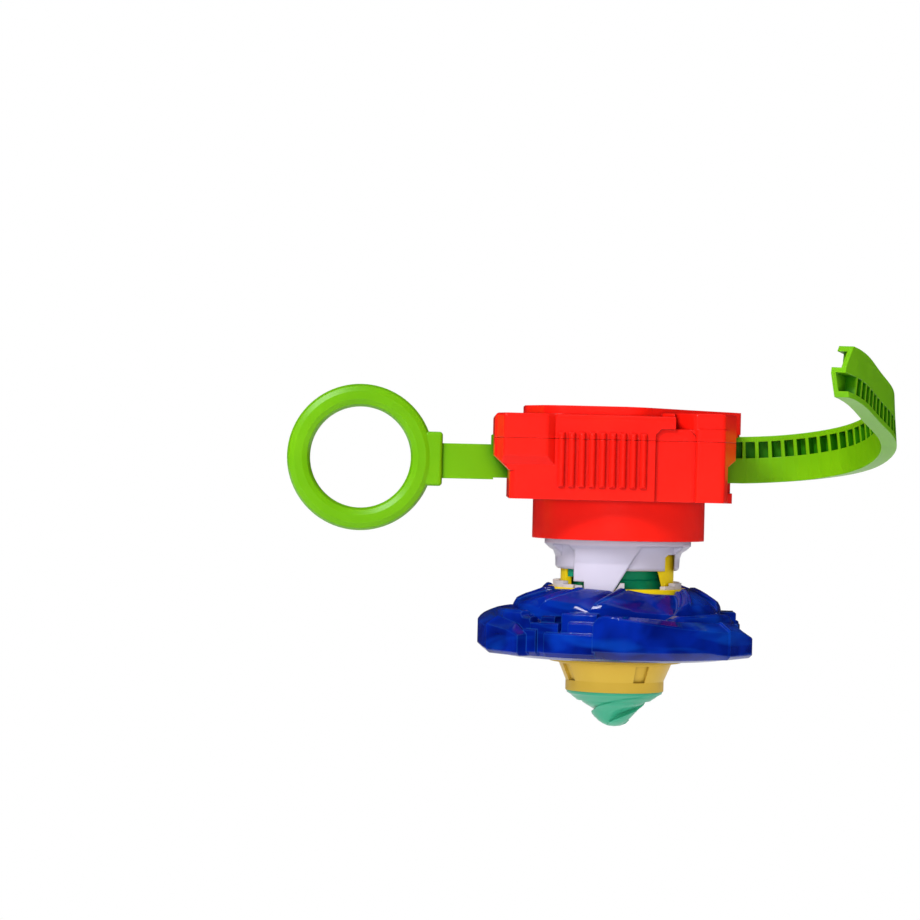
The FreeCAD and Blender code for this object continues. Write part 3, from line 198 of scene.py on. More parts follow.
floor_mesh = bpy.data.meshes.new("floor")
floor_bm = bmesh.new()
bmesh.ops.create_grid(floor_bm, x_segments=2, y_segments=2, size=FLOOR_REACH)
bmesh.ops.translate(floor_bm, verts=floor_bm.verts, vec=(0.0, 0.0, FLOOR_LEVEL))
floor_bm.to_mesh(floor_mesh)
floor_bm.free()
floor = bpy.data.objects.new("floor", floor_mesh)
bpy.context.scene.collection.objects.link(floor)
floor_material = bpy.data.materials.new("pale_floor")
floor_material.use_nodes = True
floor_material.node_tree.nodes.clear()
floor_out = floor_material.node_tree.nodes.new("ShaderNodeOutputMaterial")
floor_mix = seen_white(floor_material.node_tree, FLOOR_GREY, 1.0, "floor")
floor_material.node_tree.links.new(floor_mix.outputs[0], floor_out.inputs[0])
floor_mesh.materials.append(floor_material)
print("floor at", FLOOR_LEVEL, "m")

# %% [markdown]
# ## Moulded plastic
# Injection moulded plastic is never one flat colour: the pigment drifts a little along the flow,
# the skin has a fine texture from the tool, and handling leaves faint scuffs that show as streaks
# in the gloss. One node group gives all three, and every plastic on the toy uses it with its own
# values, because the effect is the same and only its strength differs.


# %% Node helpers
def add_node(tree, kind, **settings):
    node = tree.nodes.new(kind)
    for key, value in settings.items():
        setattr(node, key, value)
    return node


def socket(group, name, way, kind, start=None):
    made = group.interface.new_socket(name=name, in_out=way, socket_type=kind)
    if start is not None:
        made.default_value = start
    return made


# %% The shared skin group
DRIFT_BAND = (0.35, 0.70)
SCUFF_SCALE, SCUFF_STRETCH, SCUFF_SLANT = 420.0, (1.0, 1.0, 7.0), (0.2, 0.5, 0.3)
SCUFF_BAND = (0.52, 0.75)
GRAIN_SCALE, SCUFF_DEPTH = 1800.0, 0.35


def make_skin_group():
    group = bpy.data.node_groups.new("moulded_skin", "ShaderNodeTree")
    socket(group, "Colour", "INPUT", "NodeSocketColor")
    socket(group, "Shade", "INPUT", "NodeSocketColor")
    socket(group, "Drift Scale", "INPUT", "NodeSocketFloat", 60.0)
    socket(group, "Gloss", "INPUT", "NodeSocketFloat", 0.3)
    socket(group, "Scuff", "INPUT", "NodeSocketFloat", 0.1)
    socket(group, "Colour", "OUTPUT", "NodeSocketColor")
    socket(group, "Roughness", "OUTPUT", "NodeSocketFloat")
    socket(group, "Height", "OUTPUT", "NodeSocketFloat")
    start = add_node(group, "NodeGroupInput")
    end = add_node(group, "NodeGroupOutput")
    place = add_node(group, "ShaderNodeTexCoord")
    drift = add_node(group, "ShaderNodeTexNoise")
    drift.inputs["Detail"].default_value = 2.0
    drift.inputs["Distortion"].default_value = 0.6
    group.links.new(place.outputs["Object"], drift.inputs["Vector"])
    group.links.new(start.outputs["Drift Scale"], drift.inputs["Scale"])
    spread = add_node(group, "ShaderNodeMapRange")
    spread.inputs["From Min"].default_value, spread.inputs["From Max"].default_value = DRIFT_BAND
    group.links.new(drift.outputs["Fac"], spread.inputs["Value"])
    tint = add_node(group, "ShaderNodeMix", data_type="RGBA")
    group.links.new(spread.outputs["Result"], tint.inputs["Factor"])
    group.links.new(start.outputs["Colour"], tint.inputs["A"])
    group.links.new(start.outputs["Shade"], tint.inputs["B"])
    group.links.new(tint.outputs["Result"], end.inputs["Colour"])
    stretch = add_node(group, "ShaderNodeMapping")
    stretch.inputs["Scale"].default_value = SCUFF_STRETCH
    stretch.inputs["Rotation"].default_value = SCUFF_SLANT
    group.links.new(place.outputs["Object"], stretch.inputs["Vector"])
    streaks = add_node(group, "ShaderNodeTexNoise")
    streaks.inputs["Scale"].default_value = SCUFF_SCALE
    streaks.inputs["Detail"].default_value = 4.0
    group.links.new(stretch.outputs["Vector"], streaks.inputs["Vector"])
    scuffed = add_node(group, "ShaderNodeMapRange")
    scuffed.inputs["From Min"].default_value, scuffed.inputs["From Max"].default_value = SCUFF_BAND
    group.links.new(streaks.outputs["Fac"], scuffed.inputs["Value"])
    dulled = add_node(group, "ShaderNodeMath", operation="MULTIPLY_ADD")
    group.links.new(scuffed.outputs["Result"], dulled.inputs[0])
    group.links.new(start.outputs["Scuff"], dulled.inputs[1])
    group.links.new(start.outputs["Gloss"], dulled.inputs[2])
    group.links.new(dulled.outputs[0], end.inputs["Roughness"])
    grain = add_node(group, "ShaderNodeTexNoise")
    grain.inputs["Scale"].default_value = GRAIN_SCALE
    grain.inputs["Detail"].default_value = 2.0
    group.links.new(place.outputs["Object"], grain.inputs["Vector"])
    relief = add_node(group, "ShaderNodeMath", operation="MULTIPLY_ADD")
    relief.inputs[1].default_value = SCUFF_DEPTH
    group.links.new(scuffed.outputs["Result"], relief.inputs[0])
    group.links.new(grain.outputs["Fac"], relief.inputs[2])
    group.links.new(relief.outputs[0], end.inputs["Height"])
    return group


skin_group = make_skin_group()
print("group", skin_group.name, "with", len(skin_group.nodes), "nodes")


# %% [markdown]
# Inner corners of a moulding look darker and richer, because light reaches them only after it has
# met the plastic again. Ambient occlusion finds them, and the colour is dimmed there as painted shade.
# The Bevel node rounds the edges for the gloss alone, as the mould does.

# %% Plastic from the group
# Painted shade: where ambient occlusion finds an inner corner, the base colour is dimmed towards a darker
# shade colour.
PAINTED_SHADE_BAND = (0.35, 0.92)
RELIEF_STRENGTH, RELIEF_DEPTH = 0.004, 0.0002
GLOW_DEPTH = 0.0015
PLASTIC_IOR = 1.5


# The last two arguments set the painted shade in inner corners: how far ambient occlusion looks, and how
# much the shade colour is dimmed there.
def plastic(name, colour, shade, gloss=0.25, scuff=0.03, specular=0.3, edge=0.00018, transmission=0.0,
            drift=60.0, subsurface=0.0, painted_shade_reach=0.0, deep=(0.6, 0.6, 0.6)):
    made = bpy.data.materials.new(name)
    made.use_nodes = True
    tree = made.node_tree
    tree.nodes.clear()
    out = add_node(tree, "ShaderNodeOutputMaterial")
    shader = add_node(tree, "ShaderNodeBsdfPrincipled")
    skin = add_node(tree, "ShaderNodeGroup", node_tree=skin_group)
    skin.inputs["Colour"].default_value = (*colour, 1.0)
    skin.inputs["Shade"].default_value = (*shade, 1.0)
    skin.inputs["Drift Scale"].default_value = drift
    skin.inputs["Gloss"].default_value = gloss
    skin.inputs["Scuff"].default_value = scuff
    tree.links.new(skin.outputs["Colour"], shader.inputs["Base Color"])
    # painted shade: dim the colour in inner corners and pockets
    if painted_shade_reach:
        corner = add_node(tree, "ShaderNodeAmbientOcclusion", samples=8)
        corner.inputs["Distance"].default_value = painted_shade_reach
        open_sky = add_node(tree, "ShaderNodeMapRange")
        open_sky.inputs["From Min"].default_value, open_sky.inputs["From Max"].default_value = PAINTED_SHADE_BAND
        tree.links.new(corner.outputs["AO"], open_sky.inputs["Value"])
        painted_shade = add_node(tree, "ShaderNodeMix", data_type="RGBA")
        painted_shade.inputs["A"].default_value = (*(part * dim for part, dim in zip(shade, deep)), 1.0)
        tree.links.new(open_sky.outputs["Result"], painted_shade.inputs["Factor"])
        tree.links.new(skin.outputs["Colour"], painted_shade.inputs["B"])
        tree.links.new(painted_shade.outputs["Result"], shader.inputs["Base Color"])
    tree.links.new(skin.outputs["Roughness"], shader.inputs["Roughness"])
    rounded = add_node(tree, "ShaderNodeBevel", samples=6)
    rounded.inputs["Radius"].default_value = edge
    bump = add_node(tree, "ShaderNodeBump")
    bump.inputs["Strength"].default_value = RELIEF_STRENGTH
    bump.inputs["Distance"].default_value = RELIEF_DEPTH
    tree.links.new(skin.outputs["Height"], bump.inputs["Height"])
    tree.links.new(rounded.outputs["Normal"], bump.inputs["Normal"])
    tree.links.new(bump.outputs["Normal"], shader.inputs["Normal"])
    shader.inputs["Specular IOR Level"].default_value = specular
    shader.inputs["IOR"].default_value = PLASTIC_IOR
    shader.inputs["Transmission Weight"].default_value = transmission
    if subsurface:
        shader.inputs["Subsurface Weight"].default_value = subsurface
        shader.inputs["Subsurface Radius"].default_value = (1.0, 1.0, 1.0)
        shader.inputs["Subsurface Scale"].default_value = GLOW_DEPTH
    tree.links.new(shader.outputs[0], out.inputs[0])
    return made


# %% The toy's plastics
# housing_red, strip_green and base_yellow get painted shade in their corners and pockets; deep sets how
# far their shade colour is dimmed there.
FINISHES = {
    "housing_red": plastic("glossy_red", (0.92, 0.012, 0.005), (0.86, 0.008, 0.004), gloss=0.30,
                           specular=0.2, edge=0.0003, painted_shade_reach=0.0010, deep=(0.64, 0.68, 0.68)),
    "strip_green": plastic("lime_green", (0.165, 0.46, 0.003), (0.135, 0.40, 0.002), gloss=0.32,
                           specular=0.18, subsurface=0.3, painted_shade_reach=0.0034, deep=(0.10, 0.40, 0.2)),
    "rotor_white": plastic("lavender_white", (0.60, 0.57, 0.70), (0.56, 0.53, 0.66), gloss=0.35,
                           edge=0.0006),
    "gear_white": plastic("acetal", (0.72, 0.70, 0.66), (0.68, 0.66, 0.61), gloss=0.45),
    "click_white": plastic("lock_white", (0.60, 0.56, 0.60), (0.55, 0.51, 0.55), gloss=0.35),
    "frame_yellow": plastic("clear_yellow", (1.0, 0.74, 0.008), (0.94, 0.67, 0.006), gloss=0.3,
                            specular=0.15),
    "base_yellow": plastic("mustard", (0.76, 0.50, 0.055), (0.70, 0.44, 0.042), gloss=0.38,
                           painted_shade_reach=0.0016),
    # The core and the tip are one green plastic: the core's darker copy paints the shade it sits in, the
    # tip's paler copy paints the light it catches.
    "core_green": plastic("green_painted_shade", (0.004, 0.31, 0.160), (0.003, 0.24, 0.12), gloss=0.25),
    "tip_green": plastic("green_painted_light", (0.055, 0.46, 0.27), (0.045, 0.40, 0.235), gloss=0.3, subsurface=0.2),
}
print("plastics:", len(FINISHES))

# %% [markdown]
# The blade ring is clear blue plastic. Looking into it, the eye meets the far faces bent and broken
# up, some dark and some bright, and the light that travels along the moulding leaves it at the
# edges, which glow. Half of the look is true refraction. The rest is painted light: slanting streaks
# of noise paint the bright broken view inside, the drift between two blues paints its dark and
# bright patches, and the angle between the true normal and the bevelled one finds the edges, which
# get a painted glow.

# %% Clear blue
# Painted light inside the ring: bright streaks stand for refracted light, and the edges get a painted
# glow.
STREAK_SCALE = 130.0
STREAK_STRETCH = (0.45, 0.45, 2.2)
STREAK_SLANT = (0.0, 0.45, 0.0)
STREAK_BAND, STREAK_SHARE = (0.50, 0.74), 0.55
EDGE_BAND, EDGE_SHARE = (0.995, 0.90), 0.28


def clear_plastic(name, deep, dark, bright, glow):
    made = plastic(name, deep, dark, gloss=0.06, scuff=0.01, specular=0.10, transmission=0.42,
                   edge=0.00030, drift=150.0)
    tree = made.node_tree
    shader = tree.nodes["Principled BSDF"]
    skin = tree.nodes["Group"]
    place = add_node(tree, "ShaderNodeTexCoord")
    stretch = add_node(tree, "ShaderNodeMapping")
    stretch.inputs["Rotation"].default_value = STREAK_SLANT
    stretch.inputs["Scale"].default_value = STREAK_STRETCH
    tree.links.new(place.outputs["Object"], stretch.inputs["Vector"])
    streaks = add_node(tree, "ShaderNodeTexNoise")
    streaks.inputs["Scale"].default_value = STREAK_SCALE
    streaks.inputs["Detail"].default_value = 1.0
    streaks.inputs["Distortion"].default_value = 1.2
    tree.links.new(stretch.outputs["Vector"], streaks.inputs["Vector"])
    lit = add_node(tree, "ShaderNodeMapRange")
    lit.inputs["From Min"].default_value, lit.inputs["From Max"].default_value = STREAK_BAND
    lit.inputs["To Max"].default_value = STREAK_SHARE
    tree.links.new(streaks.outputs["Fac"], lit.inputs["Value"])
    inside = add_node(tree, "ShaderNodeMix", data_type="RGBA")
    inside.inputs["B"].default_value = (*bright, 1.0)
    tree.links.new(lit.outputs["Result"], inside.inputs["Factor"])
    tree.links.new(skin.outputs["Colour"], inside.inputs["A"])
    facing = add_node(tree, "ShaderNodeNewGeometry")
    turn = add_node(tree, "ShaderNodeVectorMath", operation="DOT_PRODUCT")
    tree.links.new(facing.outputs["Normal"], turn.inputs[0])
    tree.links.new(tree.nodes["Bevel"].outputs["Normal"], turn.inputs[1])
    rim = add_node(tree, "ShaderNodeMapRange")
    rim.inputs["From Min"].default_value, rim.inputs["From Max"].default_value = EDGE_BAND
    rim.inputs["To Max"].default_value = EDGE_SHARE
    tree.links.new(turn.outputs["Value"], rim.inputs["Value"])
    edge_light = add_node(tree, "ShaderNodeMix", data_type="RGBA")
    edge_light.inputs["B"].default_value = (*glow, 1.0)
    tree.links.new(rim.outputs["Result"], edge_light.inputs["Factor"])
    tree.links.new(inside.outputs["Result"], edge_light.inputs["A"])
    tree.links.new(edge_light.outputs["Result"], shader.inputs["Base Color"])
    return made


# The first two blues drift into painted patches of refracted light and shade; the third is the painted
# light in the streaks, the fourth the painted glow at the edges.
FINISHES["ring_blue"] = clear_plastic("deep_blue", (0.0012, 0.028, 0.47), (0.0006, 0.009, 0.20),
                                      (0.004, 0.11, 0.80), (0.03, 0.22, 0.88))

# %% [markdown]
# ## Metals
# The screws, the thrust washer, the bush and the weight ring are metal. Turned and tumbled metal
# is streaked around its axis, so the colour and the gloss vary in thin rings about the spin axis.


# %% Turned metal
TURNING_SCALE = 900.0
TURNING_DULL = 0.12


def metal(name, colour, shade, gloss):
    made = bpy.data.materials.new(name)
    made.use_nodes = True
    tree = made.node_tree
    shader = tree.nodes["Principled BSDF"]
    place = add_node(tree, "ShaderNodeTexCoord")
    rings = add_node(tree, "ShaderNodeTexWave", wave_type="RINGS", rings_direction="Z")
    rings.inputs["Scale"].default_value = TURNING_SCALE
    rings.inputs["Distortion"].default_value = 1.5
    rings.inputs["Detail"].default_value = 3.0
    tree.links.new(place.outputs["Object"], rings.inputs["Vector"])
    tint = add_node(tree, "ShaderNodeMix", data_type="RGBA")
    tint.inputs["A"].default_value = (*colour, 1.0)
    tint.inputs["B"].default_value = (*shade, 1.0)
    tree.links.new(rings.outputs["Fac"], tint.inputs["Factor"])
    tree.links.new(tint.outputs["Result"], shader.inputs["Base Color"])
    satin = add_node(tree, "ShaderNodeMath", operation="MULTIPLY_ADD")
    satin.inputs[1].default_value = TURNING_DULL
    satin.inputs[2].default_value = gloss
    tree.links.new(rings.outputs["Fac"], satin.inputs[0])
    tree.links.new(satin.outputs[0], shader.inputs["Roughness"])
    bump = add_node(tree, "ShaderNodeBump")
    bump.inputs["Strength"].default_value = 0.05
    bump.inputs["Distance"].default_value = 0.0001
    tree.links.new(rings.outputs["Fac"], bump.inputs["Height"])
    tree.links.new(bump.outputs["Normal"], shader.inputs["Normal"])
    shader.inputs["Metallic"].default_value = 1.0
    return made


FINISHES["steel"] = metal("zinc_steel", (0.62, 0.63, 0.65), (0.50, 0.51, 0.53), 0.28)
FINISHES["weight_metal"] = metal("tumbled_metal", (0.55, 0.55, 0.57), (0.42, 0.42, 0.44), 0.34)
FINISHES["bush_brass"] = metal("plain_brass", (0.72, 0.52, 0.20), (0.60, 0.42, 0.14), 0.30)

# %% Finish the CAD nodes
slot_of = {part["node"]: part["material_slot"] for part in frame["record"]["subparts"]}
for node_name, node in frame["nodes"].items():
    node.data.materials.clear()
    node.data.materials.append(FINISHES[slot_of[node_name]])
print("finished nodes:", len(slot_of))

# %% [markdown]
# ## The blade ring
# The outer ring of the top is one moulding in clear blue: a low dome of swirled lobes round the
# mouth, and three long blades that start as a rounded corner, fall along their length and carry a
# raised wing near their end. A turned profile gives the dome, and its points are then lifted into
# lobes. A blade changes its section all along, so it is a row of cross-sections joined by bridges,
# which keeps every facet where the mould has one.


# %% Helpers for pieces
MM = 0.001
THIRDS = 3
THIRD = 360.0 / THIRDS


def polar(radius, azimuth, level):
    """A point in metres from a radius and a level in millimetres and an azimuth in degrees."""
    turn = math.radians(azimuth)
    return Vector((radius * math.cos(turn), radius * math.sin(turn), level)) * MM


def ramp(value, stops):
    """Straight-line reading of a table of (place, level) stops."""
    if value <= stops[0][0]:
        return stops[0][1]
    for (x0, y0), (x1, y1) in zip(stops, stops[1:]):
        if value <= x1:
            return y0 + (y1 - y0) * (value - x0) / (x1 - x0)
    return stops[-1][1]


def loop_of(bm, points):
    """A closed loop of new points; returns its edges."""
    verts = [bm.verts.new(point) for point in points]
    return [bm.edges.new((verts[i - 1], verts[i])) for i in range(len(verts))]


def finish_piece(name, bm, finish, body, stands_for=None, sharp=24.0):
    """Makes the mesh an object with crisp edges where its faces turn sharply."""
    bmesh.ops.remove_doubles(bm, verts=bm.verts, dist=1e-6)
    bmesh.ops.recalc_face_normals(bm, faces=bm.faces)
    for face in bm.faces:
        face.smooth = True
    for edge in bm.edges:
        if len(edge.link_faces) == 2 and edge.calc_face_angle(0.0) > math.radians(sharp):
            edge.smooth = False
    mesh = bpy.data.meshes.new(name)
    bm.to_mesh(mesh)
    bm.free()
    mesh.materials.append(finish)
    made = bpy.data.objects.new(name, mesh)
    bpy.context.scene.collection.objects.link(made)
    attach(made, body)
    if stands_for:
        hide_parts(stands_for)
    print(name, len(mesh.polygons), "faces")
    return made


# %% Dome of lobes
DOME = ((9.8, -27.3), (9.8, -25.6), (12.4, -25.6), (12.4, -23.8), (12.6, -23.45), (13.1, -23.4),
        (13.8, -23.65), (14.5, -24.0), (15.2, -24.35), (15.9, -24.7), (16.6, -25.05), (17.3, -25.4),
        (17.9, -25.75), (18.25, -26.2), (18.4, -26.7), (18.6, -29.6), (20.9, -30.1), (21.5, -30.8),
        (21.5, -33.6), (20.6, -34.6), (19.4, -35.1), (18.1, -35.1), (18.1, -27.3))
RIM = ((0.0, -23.5), (6.0, -22.95), (10.0, -23.3), (28.0, -23.2), (36.0, -23.55), (37.0, -23.75),
       (38.5, -23.15), (43.5, -23.0), (61.0, -23.2), (69.0, -23.75), (70.5, -23.2), (75.7, -23.05),
       (93.0, -23.7), (117.0, -24.15), (119.0, -23.6), (120.0, -23.5))
RIM_ZERO = -157.5
LOBE_SWIRL = 3.4
LOBE_REACH = ((12.5, 0.3), (12.8, 1.0), (14.0, 1.5), (16.5, 2.0), (17.9, 1.7), (18.4, 0.9))
DOME_STEPS = 360
MOUTH_R, MOUTH_LEVEL = DOME[4]
CROWN_FOOT = -26.8
HAIR = 0.01     # mm, for telling places apart


def lobe_lift(azimuth):
    """Height of the lobes over the plain dome at the mouth, in millimetres."""
    return ramp((azimuth - RIM_ZERO) % THIRD, RIM) - MOUTH_LEVEL


def swirl(verts, per_mm, measure):
    """Turns each point about the spin axis by so many degrees for each millimetre of its measure."""
    for vert in verts:
        turn = Matrix.Rotation(math.radians(per_mm * measure(vert)), 3, "Z")
        vert.co = turn @ vert.co


def radius_of(vert):
    return math.hypot(vert.co.x, vert.co.y) / MM


def azimuth_of(vert):
    return math.degrees(math.atan2(vert.co.y, vert.co.x))


ring_bm = bmesh.new()
dome_edges = loop_of(ring_bm, [Vector((r, 0.0, z)) * MM for r, z in DOME])
bmesh.ops.spin(ring_bm, geom=ring_bm.verts[:] + dome_edges, cent=(0, 0, 0), axis=(0, 0, 1),
               dvec=(0, 0, 0), angle=math.tau, steps=DOME_STEPS, use_merge=True, use_duplicate=False)
crown = [vert for vert in ring_bm.verts
         if radius_of(vert) > MOUTH_R - HAIR and vert.co.z > CROWN_FOOT * MM]
for vert in crown:
    vert.co.z += lobe_lift(azimuth_of(vert)) * ramp(radius_of(vert), LOBE_REACH) * MM
swirl(crown, -LOBE_SWIRL, lambda vert: radius_of(vert) - MOUTH_R)
print("dome points", len(ring_bm.verts))

# %% [markdown]
# Each lobe of the dome starts with a rounded nose at the mouth, and from there a thick roll of
# plastic runs down along the swirl. A roll is a row of circles, each turned across its path, joined
# by bridges.

# %% Rolls along the lobes
ROLLS = ((39.2, 0.55), (71.4, 0.72), (119.8, 0.60), (8.0, 0.50))
ROLL_STATIONS = ((12.8, 0.3), (13.0, 0.7), (13.6, 1.0), (14.6, 0.9), (15.8, 0.75), (17.0, 0.6),
                 (17.9, 0.4))
ROLL_SIDES = 16
ROLL_SINK = 0.1
CROWN = DOME[4:14]


def tube(bm, stations):
    """A closed round bar through (point, radius) stations."""
    loops = []
    for index, (point, radius) in enumerate(stations):
        ahead = stations[min(index + 1, len(stations) - 1)][0]
        behind = stations[max(index - 1, 0)][0]
        across = (ahead - behind).to_track_quat("Z", "Y").to_matrix().to_4x4()
        made = bmesh.ops.create_circle(bm, cap_ends=False, segments=ROLL_SIDES, radius=radius,
                                       matrix=Matrix.Translation(point) @ across)
        loops.append([edge for edge in bm.edges if all(vert in made["verts"] for vert in edge.verts)])
    for near, far in zip(loops, loops[1:]):
        bmesh.ops.bridge_loops(bm, edges=near + far)
    for end in (loops[0], loops[-1]):
        bmesh.ops.contextual_create(bm, geom=end)


for third in range(THIRDS):
    for place, thick in ROLLS:
        path = []
        for r, share in ROLL_STATIONS:
            azimuth = RIM_ZERO + third * THIRD + place
            level = ramp(r, CROWN) + lobe_lift(azimuth) * ramp(r, LOBE_REACH) - ROLL_SINK * thick * share
            path.append((polar(r, azimuth - LOBE_SWIRL * (r - MOUTH_R), level), thick * share * MM))
        roll_bm = bmesh.new()
        tube(roll_bm, path)
        roll_mesh = bpy.data.meshes.new("roll")
        roll_bm.to_mesh(roll_mesh)
        roll_bm.free()
        ring_bm.from_mesh(roll_mesh)
        bpy.data.meshes.remove(roll_mesh)
print("rolls", THIRDS * len(ROLLS))

# %% Three blades
BLADE_ZERO = -102.7
BLADE_STATIONS = (0.0, 1.0, 2.4, 5.5, 9.0, 12.4, 15.0, 20.0, 26.0, 33.0, 36.0, 40.0, 46.0, 52.0, 58.0,
                  62.8, 63.6, 64.0, 71.0, 77.0, 79.0, 80.0, 85.4, 86.6)
BLADE_REACH = ((0.0, 22.6), (5.5, 23.3), (12.4, 24.35), (40.0, 24.4), (62.8, 24.3), (63.6, 24.5),
               (64.0, 24.45))
BLADE_EDGE = ((0.0, -28.6), (1.0, -27.9), (2.4, -27.4), (5.5, -27.1), (8.0, -27.2), (14.0, -27.6),
              (38.0, -28.9), (62.8, -29.7), (63.6, -29.35), (79.0, -30.1), (86.6, -31.0))
BLADE_LIP = ((0.0, -28.6), (1.0, -27.9), (2.4, -27.3), (5.5, -27.0), (14.0, -27.1), (26.0, -27.4),
             (38.0, -27.9), (52.0, -28.0), (62.8, -28.4), (63.6, -28.0), (79.0, -28.9), (86.6, -30.8))
WING_TOP = ((0.0, -28.9), (10.0, -28.3), (33.0, -28.3), (36.0, -27.6), (40.0, -27.0), (60.0, -26.75),
            (77.0, -26.8), (79.0, -26.9), (80.0, -27.6), (85.4, -27.8), (86.6, -28.8))
END_CHORD = (64.0, 86.6, 24.45, 24.5)
BEVEL_FOOT = ((0.0, 1.0), (50.0, 1.0), (62.8, 0.45), (86.6, 0.4))
BLADE_FOOT = -34.55
BLADE_ROOT_R = 18.3
BEVEL_TOP = -32.45
STEP_CHAMFER, STEP_FOOT, STEP_BEVEL = 0.25, 0.8, -33.8


def blade_reach(place):
    """Outer radius of the blade; its last stretch is one flat facet."""
    first, last, near, far = END_CHORD
    if place <= first:
        return ramp(place, BLADE_REACH)
    a = Vector((near * math.cos(math.radians(first)), near * math.sin(math.radians(first))))
    b = Vector((far * math.cos(math.radians(last)), far * math.sin(math.radians(last))))
    ray = Vector((math.cos(math.radians(place)), math.sin(math.radians(place))))
    run = b - a
    return (a.x * run.y - a.y * run.x) / (ray.x * run.y - ray.y * run.x)


def blade_section(place):
    """Outline of the blade at one azimuth: root, raised wing, valley, lip, edge and bevelled foot."""
    reach = blade_reach(place)
    edge = ramp(place, BLADE_EDGE)
    lip = ramp(place, BLADE_LIP)
    wing = ramp(place, WING_TOP)
    cut = ramp(place, BEVEL_FOOT)
    return ((BLADE_ROOT_R, BLADE_FOOT), (BLADE_ROOT_R, wing - 0.7), (19.0, wing - 0.5), (19.5, wing),
            (20.8, wing - 0.1), (21.2, wing - 0.5), (21.5, lip - 0.35), (22.4, lip),
            (reach - 0.2, edge + 0.1), (reach, edge - 0.15), (reach, BEVEL_TOP),
            (reach, BLADE_FOOT + 1.35 * cut),
            (reach - 0.8 * cut, BLADE_FOOT + 0.5 * cut), (reach - 1.5 * cut, BLADE_FOOT))


def step_section(reach, top):
    """A small block in the gap between two blades."""
    return ((BLADE_ROOT_R, BLADE_FOOT), (BLADE_ROOT_R, top), (reach - STEP_CHAMFER, top),
            (reach, top - STEP_CHAMFER), (reach, STEP_BEVEL), (reach - STEP_FOOT, BLADE_FOOT))


def bridged(bm, sections):
    """One closed solid through a row of (azimuth, section) loops."""
    loops = [loop_of(bm, [polar(r, azimuth, z) for r, z in section]) for azimuth, section in sections]
    for near, far in zip(loops, loops[1:]):
        bmesh.ops.bridge_loops(bm, edges=near + far)
    for end in (loops[0], loops[-1]):
        bmesh.ops.contextual_create(bm, geom=end)


# first and last azimuth, reach and top of each block
STEPS = ((104.0, 121.0, 21.2, -26.9), (108.0, 121.0, 21.9, -28.4), (97.0, 121.0, 22.6, -30.3),
         (87.5, 103.0, 21.8, -28.7), (91.0, 99.0, 20.4, -27.6), (84.0, 92.0, 22.3, -29.9))

for third in range(THIRDS):
    start = BLADE_ZERO + third * THIRD
    bridged(ring_bm, [(start + place, blade_section(place)) for place in BLADE_STATIONS])
    for first, last, reach, top in STEPS:
        middle = (first + last) / 2.0
        bridged(ring_bm, [(start + place, step_section(reach, top)) for place in (first, middle, last)])
finish_piece("swirl_ring", ring_bm, FINISHES["ring_blue"], "top", "blade_ring")

# %% [markdown]
# ## The tip
# The tip is a soft green moulding with a flange and a stubby drill-like point. Its flutes are
# swirled, so the outline is ragged from every side. It is a turned profile whose points are drawn
# in along three slanting flutes.

# %% Swirled tip
TIP_PROFILE = ((0.0, -40.9), (8.45, -40.9), (8.5, -41.25), (8.35, -41.6), (7.4, -42.3), (6.75, -42.85),
               (6.05, -42.8), (5.7, -43.3), (5.2, -43.7), (4.85, -44.0), (4.3, -44.8), (3.85, -45.4),
               (3.5, -45.9), (2.9, -46.5), (2.1, -47.0), (1.2, -47.35), (0.0, -47.5))
TIP_STEPS = 120
FLUTES = 3
FLUTE_SWIRL = 36.0
FLUTE_TURN = 109.2
FLUTE_DEPTH = ((41.7, 0.0), (42.6, 0.4), (43.6, 0.5), (44.8, 1.35), (46.0, 0.9), (47.0, 0.35),
               (47.5, 0.0))
FLUTE_SHAPE = ((0.0, 0.0), (0.45, 0.35), (0.9, 1.0), (1.0, 0.0))
FLUTE_LIMIT = 0.6

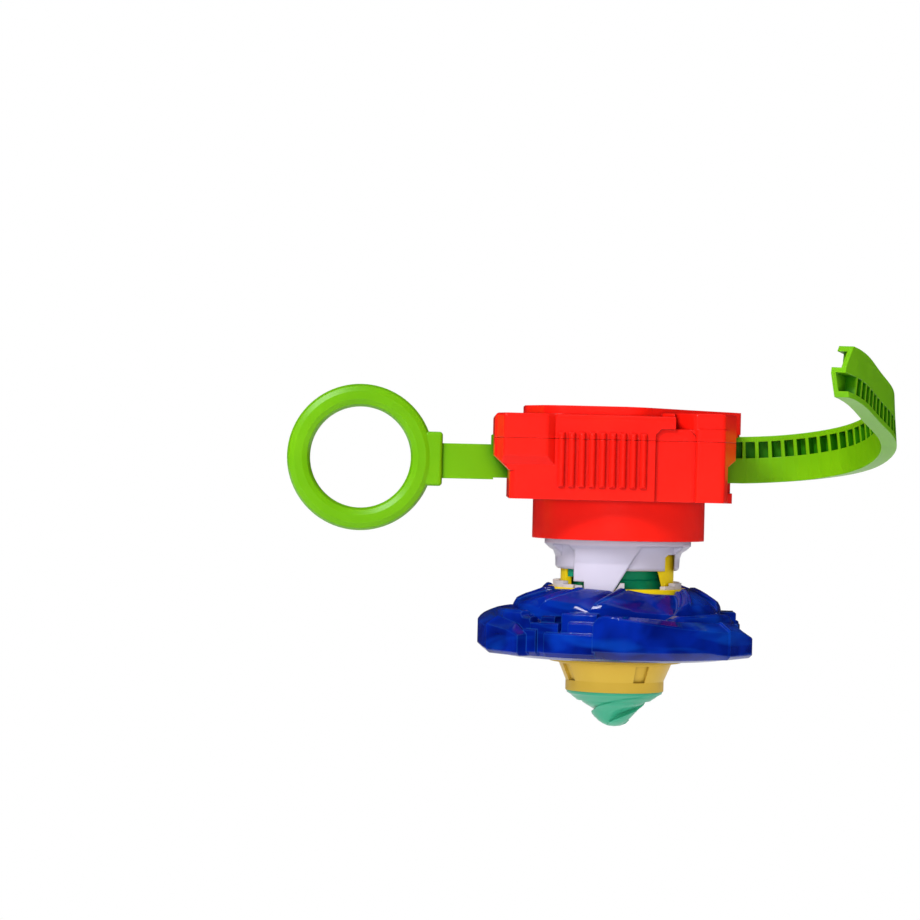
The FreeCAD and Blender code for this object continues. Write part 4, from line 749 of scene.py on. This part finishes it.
tip_bm = bmesh.new()
tip_verts = [tip_bm.verts.new(Vector((r, 0.0, z)) * MM) for r, z in TIP_PROFILE]
tip_edges = [tip_bm.edges.new(pair) for pair in zip(tip_verts, tip_verts[1:])]
bmesh.ops.spin(tip_bm, geom=tip_verts + tip_edges, cent=(0, 0, 0), axis=(0, 0, 1), dvec=(0, 0, 0),
               angle=math.tau, steps=TIP_STEPS, use_merge=True, use_duplicate=False)
bmesh.ops.remove_doubles(tip_bm, verts=tip_bm.verts, dist=1e-6)
for vert in tip_bm.verts:
    if radius_of(vert) > HAIR:
        across = ((azimuth_of(vert) + FLUTE_TURN) / (360.0 / FLUTES)) % 1.0
        cut = ramp(-vert.co.z / MM, FLUTE_DEPTH) * ramp(across, FLUTE_SHAPE)
        keep = 1.0 - min(cut / radius_of(vert), FLUTE_LIMIT)
        vert.co.x *= keep
        vert.co.y *= keep
swirl(tip_bm.verts, FLUTE_SWIRL, lambda vert: vert.co.z / MM)
finish_piece("swirled_tip", tip_bm, FINISHES["tip_green"], "core", "tip")

# %% [markdown]
# ## The core's spring
# A small wire spring stands between the base and the core and pushes the core up. Its first and last
# turns lie flat against each other, so that it stands square. One ring of points is swept round the
# axis with a rise. The real coil shortens between its seats when the core is pressed; this one keeps its
# length.

# %% Coil spring
COIL_R = 4.6
WIRE_R = 0.38
WIRE_SIDES = 10
COIL_LOW, COIL_HIGH = -35.28, -23.32
CLOSED_RISE = 0.78      # a turn at each end
OPEN_TURNS = 4
TURN_STEPS = 24

open_rise = (COIL_HIGH - COIL_LOW - 2.0 * WIRE_R - 2.0 * CLOSED_RISE) / OPEN_TURNS
coil_bm = bmesh.new()
ring_place = Matrix.Translation(Vector((COIL_R, 0.0, COIL_LOW + WIRE_R)) * MM)
ring_turn = ring_place @ Matrix.Rotation(math.pi / 2.0, 4, "X")
end_ring = bmesh.ops.create_circle(coil_bm, segments=WIRE_SIDES, radius=WIRE_R * MM, cap_ends=False,
                                   matrix=ring_turn)["verts"]
swept = list(end_ring) + list({edge for vert in end_ring for edge in vert.link_edges})
for turns, rise in ((1, CLOSED_RISE), (OPEN_TURNS, open_rise), (1, CLOSED_RISE)):
    swept = bmesh.ops.spin(coil_bm, geom=swept, cent=(0, 0, 0), axis=(0, 0, 1),
                           dvec=(0.0, 0.0, rise * MM / TURN_STEPS), angle=math.tau * turns,
                           steps=TURN_STEPS * turns, use_merge=False, use_duplicate=False)["geom_last"]
bmesh.ops.holes_fill(coil_bm, edges=[edge for edge in coil_bm.edges if edge.is_boundary],
                     sides=WIRE_SIDES)
coil_spring = finish_piece("coil_spring", coil_bm, FINISHES["steel"], "core", "core_spring",
                           sharp=40.0)
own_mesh(coil_spring)
